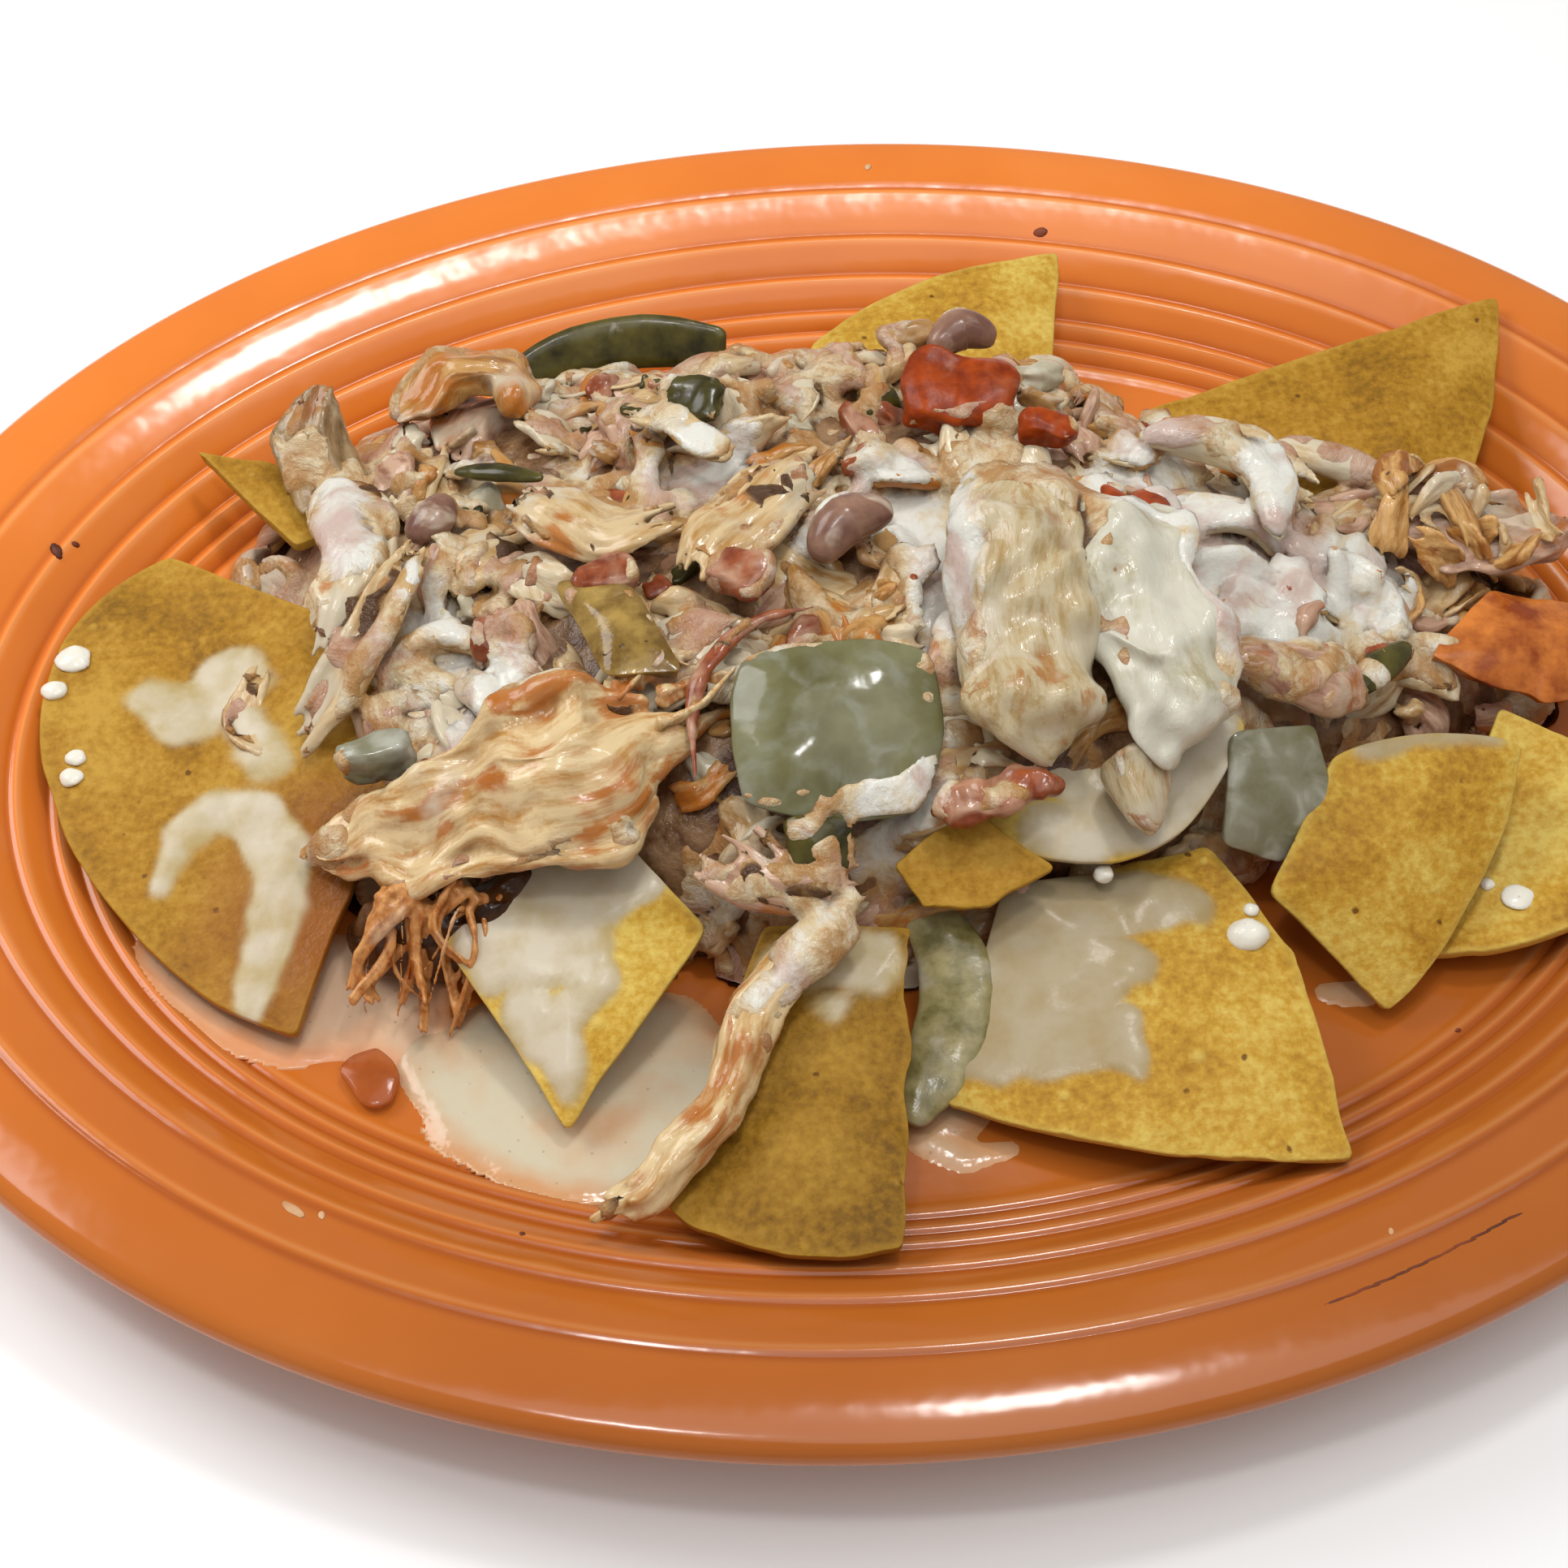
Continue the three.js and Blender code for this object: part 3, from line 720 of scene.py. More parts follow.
@dataclass(frozen=True)
class SauceCoat(Finish):
    """Queso dragged over stewed chicken: grey white where it lies thick, cream and tan where it is
    wiped thin, with orange grease stains, pink juices and a dark brown shade painted into its
    creases and folds, all wet."""

    white: int = 0xD9D7CD
    cream: int = 0xCDB994
    tan: int = 0xAE8350
    stain_and_crease_shade: int = 0xA26522
    pink: int = 0xB28678
    # painted shade: the near-black brown that darkens the creases and folds
    crease: int = 0x42260E

    def paint(self, paint: Painter) -> bpy.types.Node:
        """Build the nodes and return the shader."""
        depth = paint.attribute("depth")
        cloud = paint.noise(per(8), 5.0, roughness=0.6, distortion=0.6)
        level = paint.span(cloud, 0.3, 0.7, -0.5, 0.5, smooth=False)
        mixed = paint.math("ADD", depth, level, clamp=True)
        colour = paint.ramp(mixed, (0.05, self.tan), (0.4, self.cream), (0.85, self.white))
        # fibres that run one way within each patch of about 15 mm
        bent = paint.vector("MULTIPLY_ADD", cloud.outputs["Color"], (9 * MM, 9 * MM, 9 * MM), paint.place)
        heading = paint.math("MULTIPLY", paint.cells(per(15), bent).outputs["Color"], 6.0)
        patch = paint.add("VectorRotate", {"rotation_type": "Z_AXIS"}, {"Vector": bent, "Angle": heading})
        drawn = paint.vector("MULTIPLY", patch, (0.09 / MM, 0.8 / MM, 0.8 / MM))
        fibres = paint.noise(1.0, 4.0, drawn, roughness=0.6)
        wiped = paint.math("MULTIPLY_ADD", depth, -0.9, 1.0, clamp=True)
        lines = paint.math("MULTIPLY", paint.span(fibres, 0.5, 0.36, 0.0, 0.75), wiped)
        streaked = paint.mix(lines, colour, self.tan)
        juice = paint.noise(per(15), 4.0, distortion=1.0)
        pinked = paint.mix(paint.span(juice, 0.5, 0.66, 0.0, 0.6), streaked, self.pink)
        grease = paint.noise(per(5.5), 6.0, roughness=0.62, distortion=0.8)
        dry = paint.math("MULTIPLY_ADD", depth, -0.16, grease)
        stained_and_shaded = paint.mix(paint.span(dry, 0.45, 0.68, 0.0, 0.75), pinked, self.stain_and_crease_shade)
        # painted shade: the creases and folds are mixed towards near-black brown
        crease = paint.span(paint.attribute("hollow"), 0.1, 0.6, 0.0, 0.9)
        crease_shaded = paint.mix(crease, stained_and_shaded, self.crease)
        fine = paint.math("MULTIPLY", paint.noise(per(2.2), 3.0), 0.45)
        relief = paint.math("MULTIPLY_ADD", fibres, wiped, fine)
        return paint.surface(crease_shaded, paint.bump(relief, 0.85, 0.9), roughness=0.13, ior=1.42,
                             soft=(0.12, (1.0, 0.8, 0.5), 1.2))


@dataclass(frozen=True)
class CookedVegetable(Finish):
    """Soft cooked vegetable flesh or skin: two tones in clouds, a veil of sauce, and a wet skin."""

    light: int = 0x9A9A72
    dark: int = 0x5E6030
    veil: int = 0xC9C0AC
    veiled: float = 0.3
    cloud: float = 8.0
    roughness: float = 0.2
    translucent: float = 0.2
    body: float = 1.0
    gloss: float = 0.5
    # how softly the veil ends
    soft: float = 0.14

    def paint(self, paint: Painter) -> bpy.types.Node:
        """Build the nodes and return the shader."""
        cloud = paint.noise(per(self.cloud), 4.0, roughness=0.6)
        flesh = paint.ramp(cloud, (0.35, self.dark), (0.65, self.light))
        film = paint.noise(per(6), 3.0, distortion=0.6)
        bare = 0.72 - 0.4 * self.veiled
        coated = paint.mix(paint.span(film, bare, bare + self.soft, 0.0, 0.85), flesh, self.veil)
        return paint.surface(coated, paint.bump(cloud, 0.3, 0.5), self.roughness, 1.4, self.gloss, self.body,
                             soft=(self.translucent, (1.2, 0.7, 0.3), 1.5))


@dataclass(frozen=True)
class WetFilling(Finish):
    """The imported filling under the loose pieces: shredded meat in greasy sauce, darker and
    browner towards the bottom where light hardly reaches."""

    light: int = 0x8E6E4E
    brown: int = 0x59371E
    dark: int = 0x2C150A

    def paint(self, paint: Painter) -> bpy.types.Node:
        """Build the nodes and return the shader."""
        cloud = paint.noise(per(5), 5.0, roughness=0.6)
        meat = paint.ramp(cloud, (0.38, self.brown), (0.6, self.light))
        low = paint.mix(paint.attribute("shade"), meat, self.dark)
        return paint.surface(low, paint.bump(cloud, 0.7, 1.5), roughness=0.25, ior=1.4)


@dataclass(frozen=True)
class PlainFloor(Finish):
    """A matt white studio floor."""

    tone: int = 0xFAFAFA

    def paint(self, paint: Painter) -> bpy.types.Node:
        """Build the nodes and return the shader."""
        return paint.add("BsdfPrincipled", links={
            "Base Color": linear(self.tone), "Roughness": 0.9, "Specular IOR Level": 0.1})


GLAZE = GlazedStoneware("glazed_stoneware")
CORN = FriedCorn("fried_corn")
LIGHT_CORN = FriedCorn("light_fried_corn", crust=0xBC9030, deep=0x9E7020, pale=0xD2B65A, queso=0xAEA084,
                       thin_queso=0xA18C62)
DARK_CORN = FriedCorn("dark_fried_corn", crust=0x8E6619, deep=0x6C4A10, pale=0xA67E2C)
COATED_CORN = FriedCorn("queso_coated_fried_corn", crust=0xC69A32, deep=0xA87822, pale=0xDCC062)
CHICKEN = PulledChicken("pulled_chicken")
STREAKED_CHICKEN = PulledChicken("streaked_pulled_chicken", cream=0xD8BF92, ochre=0xB48446, spice=0xAC601A,
                                 spiced=0.8, sauced=0.15)
LOBE_CHICKEN = PulledChicken("sauced_chicken_breast", cream=0xC0B08E, ochre=0xA68A58, spice=0xA26A30,
                             spiced=0.45,
                             sauced=0.75)
GREY_CHICKEN = PulledChicken("queso_coated_chicken_breast", cream=0xC2BCA6, ochre=0xA89C7C, spice=0xA07A4C,
                             sauce=0xCFCCBC, spiced=0.25, sauced=0.9)
BROWN_CHICKEN = PulledChicken("browned_chicken_flap", cream=0xA48A66, ochre=0x745A36, spice=0x8A5220,
                              stain_and_crease_shade=0x4A3018,
                              spiced=0.4, sauced=0.3)
SPICED_CHICKEN = PulledChicken("spiced_pulled_chicken", cream=0xC0945A, ochre=0x94602A, spiced=0.8,
                               sauced=0.1)
DRY_CHICKEN = PulledChicken("dry_shredded_chicken", cream=0xD0A468, ochre=0xA06828, spice=0x8A4A14,
                            spiced=0.6,
                            sauced=0.1)
COATED_CHICKEN = PulledChicken("coated_pulled_chicken", cream=0xD6C6A6, ochre=0xBA9A6A, spiced=0.1,
                               sauced=0.9)
PINK_CHICKEN = PulledChicken("stewed_pulled_chicken", cream=0xC3A086, ochre=0x936650, spiced=0.35,
                             sauced=0.45)
HANGING_CHICKEN = PulledChicken("torn_hanging_chicken", cream=0xD0965A, ochre=0xA8642A, spice=0x9A4E14,
                                spiced=0.6,
                                sauced=0.0)
# painted shadow: near-black chicken laid where there is only deep shade under the long piece
SHADOW_PAINTED_CHICKEN = PulledChicken("stewed_dark_chicken", cream=0x54341C, ochre=0x2C180C, spice=0x5C2C0C,
                               stain_and_crease_shade=0x160A04,
                               spiced=0.3, sauced=0.0)
COAT = SauceCoat("queso_coat")
POOL_QUESO = Queso("queso_pool", deep=0xCEC3A8, thin=0xCE9A6C)
THIN_POOL = Queso("thin_queso_pool", deep=0xDAB898, thin=0xDC9A6C)
DROP_QUESO = Queso("queso_drop", deep=0xE6E2D4, thin=0xDDD6C2)
DARK_PEPPER = CookedVegetable("roasted_green_pepper", light=0x5A5220, dark=0x2A250C, veiled=0.15)
OLIVE_PEPPER = CookedVegetable("soft_olive_pepper", light=0xA4986A, dark=0x6A6232, veil=0xB4AE9C,
                               veiled=0.5, cloud=5.0, soft=0.3)
VEILED_PEPPER = CookedVegetable("veiled_green_pepper", light=0x7C7A58, dark=0x5C5832, veil=0x909182,
                                veiled=0.7,
                                translucent=0.1, cloud=14.0, roughness=0.12, soft=0.45)
PALE_PEPPER = CookedVegetable("soft_pale_pepper", light=0x8E8C78, dark=0x6E6A48, veil=0xBDBCB0, veiled=0.75,
                              translucent=0.2, cloud=12.0, roughness=0.12, soft=0.4)
TOMATO = CookedVegetable("stewed_tomato", light=0xA4420F, dark=0x742606, veil=0xA05C3C, veiled=0.5, cloud=4.0,
                         roughness=0.32, translucent=0.05, gloss=0.25, soft=0.3)
COATED_TOMATO = CookedVegetable("coated_stewed_tomato", light=0x9E5430, dark=0x6E2E18, veil=0xBC9478,
                                veiled=0.75,
                                cloud=4.0, roughness=0.16, translucent=0.05, soft=0.3)
TOMATO_SKIN = CookedVegetable("blistered_tomato_skin", light=0xD27C34, dark=0x8A3C14, veil=0xC88A50,
                              veiled=0.2,
                              roughness=0.2, cloud=7.0, translucent=0.0, soft=0.3)
BEAN = CookedVegetable("pinto_bean_skin", light=0x9C7862, dark=0x704C40, veil=0xC0AE9A, veiled=0.45)
ONION = CookedVegetable("soft_onion", light=0xBC955E, dark=0x8A5C2C, veiled=0.4, translucent=0.2)
OLIVE_ONION = CookedVegetable("browned_soft_onion", light=0xA88A48, dark=0x6E5220, veil=0xB8A47C, veiled=0.4,
                              translucent=0.2, cloud=5.0, roughness=0.13, soft=0.3)
PLATTER_ONION = CookedVegetable("clear_soft_onion_slice", light=0xC4682E, dark=0xA4501E, veiled=0.0, body=0.6,
                                roughness=0.14)
PALE_ONION = CookedVegetable("pale_soft_onion", light=0xC9C1AA, dark=0xA0967A, veiled=0.4, translucent=0.3)
SMEAR = CookedVegetable("dried_sauce", light=0xD8B08A, dark=0xC08A58, veiled=0.0, roughness=0.4,
                        translucent=0.0)
DRESSED = WetFilling("dressed_filling")
CRUMB = CookedVegetable("dried_spice_crumb", light=0x8A3E1C, dark=0x4A2414, veiled=0.0, roughness=0.6,
                        translucent=0.0)


# ---- heights ----------------------------------------------------------------------------------


@dataclass
class HeightMap:
    """A level grid over the platter, which reads heights off meshes by looking straight down."""

    low: tuple[float, float] = (-142.0, -112.0)
    high: tuple[float, float] = (138.0, 108.0)
    step: float = 1.0
    sky: float = 200.0

    def __post_init__(self) -> None:
        """Lay out the grid."""
        self.x = np.arange(self.low[0], self.high[0] + self.step / 2, self.step)
        self.y = np.arange(self.low[1], self.high[1] + self.step / 2, self.step)

    def look_down(self, objects: Iterable[bpy.types.Object]) -> np.ndarray:
        """Heights of the highest surface.

        Args:
            objects: the pieces to look at.

        Returns:
            A height for each row and column of the grid, and -1 where there is nothing.
        """
        heights = np.full((len(self.y), len(self.x)), -1.0)
        depsgraph = bpy.context.evaluated_depsgraph_get()
        down = Vector((0, 0, -1))
        for obj in objects:
            tree = BVHTree.FromObject(obj, depsgraph)
            points = points_of(obj)
            low, high = points.min(0), points.max(0)
            columns = np.nonzero((self.x >= low[0]) & (self.x <= high[0]))[0]
            rows = np.nonzero((self.y >= low[1]) & (self.y <= high[1]))[0]
            for row in rows:
                for column in columns:
                    start = Vector((self.x[column] * MM, self.y[row] * MM, self.sky * MM))
                    hit = tree.ray_cast(start, down)[0]
                    if hit is not None:
                        heights[row, column] = max(heights[row, column], hit.z / MM)
        return heights

    def read(self, heights: np.ndarray, x: np.ndarray, y: np.ndarray) -> np.ndarray:
        """Heights at any places, straight between the grid's points."""
        u = np.clip((np.asarray(x) - self.low[0]) / self.step, 0, len(self.x) - 1.001)
        v = np.clip((np.asarray(y) - self.low[1]) / self.step, 0, len(self.y) - 1.001)
        i, j = u.astype(int), v.astype(int)
        f, g = u - i, v - j
        near = heights[j, i] * (1 - f) + heights[j, i + 1] * f
        far = heights[j + 1, i] * (1 - f) + heights[j + 1, i + 1] * f
        return near * (1 - g) + far * g

    def slope(self, heights: np.ndarray, x: float, y: float, reach: float = 3.0) -> list[float]:
        """How far the surface falls along x and along y, across reach millimetres each way."""
        along_x = self.read(heights, x - reach, y) - self.read(heights, x + reach, y)
        along_y = self.read(heights, x, y - reach) - self.read(heights, x, y + reach)
        return [float(along_x), float(along_y)]

    def places(self) -> np.ndarray:
        """Every grid point as x, y and 0, row by row."""
        x, y = np.meshgrid(self.x, self.y)
        return np.stack([x.ravel(), y.ravel(), np.zeros(x.size)], axis=1)


def blur(heights: np.ndarray, reach: float) -> np.ndarray:
    """Average a grid over about reach cells."""
    half = max(1, int(round(3 * reach)))
    weights = np.exp(-0.5 * (np.arange(-half, half + 1) / reach) ** 2)
    weights /= weights.sum()
    for axis in (0, 1):
        padded = np.pad(heights, [(half, half) if k == axis else (0, 0) for k in (0, 1)], mode="edge")
        size = heights.shape[axis]
        parts = [np.take(padded, range(k, k + size), axis=axis) * w for k, w in enumerate(weights)]
        heights = sum(parts)
    return heights


def highest(heights: np.ndarray, reach: int) -> np.ndarray:
    """The highest value within reach cells each way."""
    for axis in (0, 1):
        padded = np.pad(heights, [(reach, reach) if k == axis else (0, 0) for k in (0, 1)], mode="edge")
        size = heights.shape[axis]
        heights = np.max([np.take(padded, range(k, k + size), axis=axis) for k in range(2 * reach + 1)],
                         axis=0)
    return heights


def lowest(heights: np.ndarray, reach: int) -> np.ndarray:
    """The lowest value within reach cells each way."""
    return -highest(-heights, reach)


def surface_mesh(grid: HeightMap, heights: np.ndarray, keep: np.ndarray) -> tuple[Shape, np.ndarray]:
    """Turn the kept part of a grid of heights into a sheet.

    Args:
        grid: where the heights lie.
        heights: a height for each grid point.
        keep: which cells, one fewer each way than the points, are kept.

    Returns:
        The sheet, and the flat index of the grid point that each of its points comes from.
    """
    columns = len(grid.x)
    row, column = np.nonzero(keep)
    corner = row * columns + column
    quads = np.stack([corner, corner + 1, corner + columns + 1, corner + columns], axis=1)
    used, index = np.unique(quads, return_inverse=True)
    places = grid.places()[used]
    places[:, 2] = heights.ravel()[used]
    faces = [tuple(q) for q in index.reshape(quads.shape).tolist()]
    return (places, faces), used


# ---- the platter ------------------------------------------------------------------------------


@dataclass
class Platter:
    """The oval platter: one section spun round and drawn out sideways, with stepped rings."""

    length: float = 345.0
    width: float = 274.0
    height: float = 25.0
    wall: float = 5.2
    well: float = 6.5
    well_inset: float = 46.0
    foot_outer: float = 52.0
    foot_inner: float = 59.0
    foot_recess: float = 1.4
    cove_width: float = 1.4
    cove_drop: float = 0.2
    # distance in from the edge and height of each ring's crest
    crests: tuple[tuple[float, float], ...] = (
        (15.9, 23.9), (25.4, 20.1), (31.8, 15.7), (37.5, 11.7), (41.0, 9.5), (44.6, 7.3))
    steps: int = 288

    def section(self) -> np.ndarray:
        """The section as inset and height, from the middle of the well over the lip and back under."""
        half = self.width / 2
        points = [(half, self.well), (half - 45, self.well), (self.well_inset + 2, self.well),
                  (self.well_inset + 0.4, self.well + 0.05)]
        inner = list(reversed(self.crests))
        for k, (inset, height) in enumerate(inner):
            points += [(inset, height), (inset - self.cove_width * 0.45, height + 0.02),
                       (inset - self.cove_width, height - self.cove_drop)]
            outset, rise = inner[k + 1] if k + 1 < len(inner) else (13.0, self.height - 0.7)
            foot = inset - self.cove_width
            points += [(foot + (outset - foot) * share, height - self.cove_drop
                        + (rise - height + self.cove_drop) * (share + 0.05 * math.sin(math.pi * share)))
                       for share in (0.12, 0.4, 0.75, 0.93)]
        points += [(13.0, self.height - 0.7), (10.0, self.height - 0.2), (7.0, self.height),
                   (4.2, self.height - 0.05), (2.2, self.height - 0.35), (0.9, self.height - 1.1),
                   (0.15, self.height - 2.2), (0.0, self.height - 3.2), (0.4, self.height - 4.4),
                   (1.6, self.height - self.wall), (13.0, self.height - 1.3 * self.wall)]
        points += [(inset, height - self.wall) for inset, height in self.crests[1:]]
        points += [(self.foot_outer, 1.0), (self.foot_outer + 0.8, 0.0), (self.foot_inner - 0.8, 0.0),
                   (self.foot_inner + 0.6, self.foot_recess), (half, self.foot_recess)]
        rounded = np.array(points)
        for _ in range(2):
            quarter = rounded[:-1] * 0.78 + rounded[1:] * 0.22
            three = rounded[:-1] * 0.22 + rounded[1:] * 0.78
            inside = np.stack([quarter, three], axis=1).reshape(-1, 2)
            rounded = np.vstack([rounded[:1], inside, rounded[-1:]])
        return rounded

    def build(self) -> bpy.types.Object:
        """Spin the section, close its seam and draw it out to the oval."""
        section = self.section()
        half = self.width / 2
        mesh = bpy.data.meshes.new("stoneware_platter")
        points = [((half - inset) * MM, 0.0, height * MM) for inset, height in section]
        mesh.from_pydata(points, [(i, i + 1) for i in range(len(points) - 1)], [])
        obj = bpy.data.objects.new("stoneware_platter", mesh)
        bpy.context.scene.collection.objects.link(obj)
        select_only(obj)
        bpy.ops.object.mode_set(mode="EDIT")
        bpy.ops.mesh.select_all(action="SELECT")
        bpy.ops.mesh.spin(steps=self.steps, angle=2 * math.pi, center=(0, 0, 0), axis=(0, 0, 1))
        bpy.ops.object.mode_set(mode="OBJECT")
        face_outwards(obj, merge=0.004)
        round_points = points_of(obj)
        reach = np.hypot(round_points[:, 0], round_points[:, 1])
        upper = normals_of(obj)[:, 2] > 0
        store(obj, "ring", np.where(upper, self.ring_tone(half - reach), 0.5))
        stretch = (self.length - self.width) / 2
        share = np.minimum(1, reach / (half - self.well_inset))
        round_points[:, 0] += round_points[:, 0] / np.maximum(reach, 1e-6) * stretch * share
        move_points(obj, round_points)
        smooth_shade(obj)
        return obj

    def ring_tone(self, inset: np.ndarray) -> np.ndarray:
        """How thin the glaze is: 1 on a crest, 0 in a cove and 0.5 between."""
        tone = np.full(len(inset), 0.45)
        for crest, _ in self.crests:
            tone += 0.4 * np.exp(-(((inset - crest - 0.1) / 0.6) ** 2))
            tone -= 0.4 * np.exp(-(((inset - crest + self.cove_width) / 0.8) ** 2))
        return np.clip(tone, 0, 1)

    def dress(self) -> bpy.types.Object:
        """Build the platter and glaze it."""
        return GLAZE.dress(self.build(), "glaze", "platter")


# ---- chips ------------------------------------------------------------------------------------


@dataclass
class Chip:
    """A fried chip through its corners, given anticlockwise from its upper side. Each side may
    bulge and lift, a ragged side is torn, and the middle may dome."""

    name: str
    corners: Sequence[Point]
    bulge: Sequence[float] = ()
    lift: Sequence[float] = ()
    ragged: Sequence[float] = ()
    dome: float = 0.0
    curl: float = 0.8
    soak: tuple[float, float, float] | None = None
    seed: int = 0
    thickness: float = 1.9
    spacing: float = 1.0
    rounding: float = 1.2
    blister_height: float = 0.5
    # the sauce on its upper face, as strokes
    coats: Strokes = ()
    coat_depth: float = 0.45
    coat_cover: float = 1.0
    corn: FriedCorn = CORN

    def side_value(self, values: Sequence[float], side: np.ndarray) -> np.ndarray:
        """One of the per-side lists, read for each point's side."""
        full = np.array(list(values) + [0.0] * (len(self.corners) - len(values)))
        return full[side]

    def plane(self) -> tuple[np.ndarray, np.ndarray, np.ndarray]:
        """The middle of the corners, the axes of their plane as rows, and the corners in it."""
        corners = np.array(self.corners, float)
        centre = corners.mean(0)
        local = corners - centre
        normal = unit(np.cross(local, np.roll(local, -1, axis=0)).sum(0))
        across = unit(local[0] - normal * local[0].dot(normal))
        axes = np.stack([across, np.cross(normal, across), normal])
        return centre, axes, local @ axes.T

    def outline(self, plane: np.ndarray, count: int = 720) -> np.ndarray:
        """The chip's edge in its own plane, evenly spaced, with its bulges and torn parts."""
        ahead = np.roll(plane, -1, axis=0)
        lengths = np.linalg.norm(ahead - plane, axis=1)
        marks = np.concatenate([[0], np.cumsum(lengths)])
        run = (np.arange(count) + 0.5) / count * marks[-1]
        side = np.searchsorted(marks, run, side="right") - 1
        t = (run - marks[side]) / lengths[side]
        start, end = plane[side], ahead[side]
        outward = unit(np.stack([end[:, 1] - start[:, 1], start[:, 0] - end[:, 0]], axis=1))
        arch = 4 * t * (1 - t)
        place = np.stack([run, np.full(count, self.seed * 9.0), np.zeros(count)], axis=1)
        tear = self.side_value(self.ragged, side) * rough(place, 7, self.seed, 4) * 1.5
        tear += 0.45 * lumps(place, 8, self.seed + 3)
        push = self.side_value(self.bulge, side) * arch + tear * np.minimum(1, 5 * arch)
        edge = start + (end - start) * t[:, None]
        edge[:, :2] += outward * push[:, None]
        edge[:, 2] += self.side_value(self.lift, side) * arch
        reach = max(1, int(self.rounding / marks[-1] * count))
        parts = [np.roll(edge, k, axis=0) for k in range(-reach, reach + 1)]
        return sum(parts) / len(parts)

    def build(self) -> bpy.types.Object:
        """Lay a grid out to the edge, bend it through the corners and give it its thickness."""
        centre, axes, plane = self.plane()
        outline = self.outline(plane)
        perimeter = np.linalg.norm(np.diff(outline, axis=0), axis=1).sum()
        count = max(8, int(perimeter / 4 / self.spacing))
        obj = primitive("grid", x_subdivisions=count, y_subdivisions=count, size=2 * MM)
        obj.name = self.name + "_fried"
        square = points_of(obj)[:, :2]
        reach = np.abs(square).max(1)
        u, v = (square / np.maximum(reach, 1e-6)[:, None]).T
        right, top, left = (u > 0.9999), (v > 0.9999), (u < -0.9999)
        turn = np.where(right, (v + 1) / 8, np.where(top, 0.25 + (1 - u) / 8, np.where(
            left, 0.5 + (1 - v) / 8, 0.75 + (u + 1) / 8))) % 1.0
        around = np.vstack([outline, outline[:1]])
        marks = np.linspace(0, 1, len(around))
        edge = np.stack([np.interp(turn, marks, around[:, k]) for k in range(3)], axis=1)
        shaped = edge[:, :2] * reach[:, None]
        height = edge[:, 2] * reach + self.dome * (1 - reach ** 2)
        sample = np.stack([shaped[:, 0], shaped[:, 1], np.full(len(turn), self.seed * 31.0)], axis=1)
        height += self.curl * lumps(sample, 26, self.seed) + 0.28 * lumps(sample, 9, self.seed + 1)
        blister = eased(np.clip((lumps(sample, 5.5, self.seed + 2) - 0.45) / 0.3, 0, 1))
        height += self.blister_height * blister
        height += 0.09 * lumps(sample, 2.6, self.seed + 4)
        points = centre + shaped @ axes[:2] + height[:, None] * axes[2]
        sauce = self.sauce_share(points)
        coat = self.coat_depth * sauce * (1 + 0.35 * lumps(points, 5, self.seed + 32))
        points = points + axes[2] * coat[:, None]
        move_points(obj, points)
        store(obj, "sauce", sauce * self.coat_cover)
        away = np.linalg.norm(edge[:, :2], axis=1) * (1 - reach)
        store(obj, "rim", np.clip(1.3 - away, 0, 1) * 0.6)
        store(obj, "soak", self.soaking(points))
        apply_modifier(obj, "SOLIDIFY", thickness=self.thickness * MM, offset=0.0)
        apply_modifier(obj, "BEVEL", width=0.35 * MM, segments=2, limit_method="ANGLE",
                       angle_limit=math.radians(50))
        return closed(obj, 60)

    def sauce_share(self, points: np.ndarray) -> np.ndarray:
        """How deep the sauce lies at each point, from 0 to 1."""
        if not self.coats:
            return np.zeros(len(points))
        wavy = 1.5 * lumps(points, 8, self.seed + 30) + 1.0 * lumps(points, 3.5, self.seed + 31)
        depth = np.clip((inside_strokes(points, self.coats) + wavy) / 4.2, 0, 1)
        return eased(depth)

    def soaking(self, points: np.ndarray) -> np.ndarray:
        """How wet each point is, from the middle and size of the soaked patch."""
        if self.soak is None:
            return np.zeros(len(points))
        x, y, size = self.soak
        away = np.hypot(points[:, 0] - x, points[:, 1] - y) + 4 * lumps(points, 8, self.seed + 6)
        return np.clip(1.4 - away / size, 0, 0.9)

    def dress(self) -> bpy.types.Object:
        """Build the chip and fry it."""
        return self.corn.dress(self.build(), "chip", self.name)


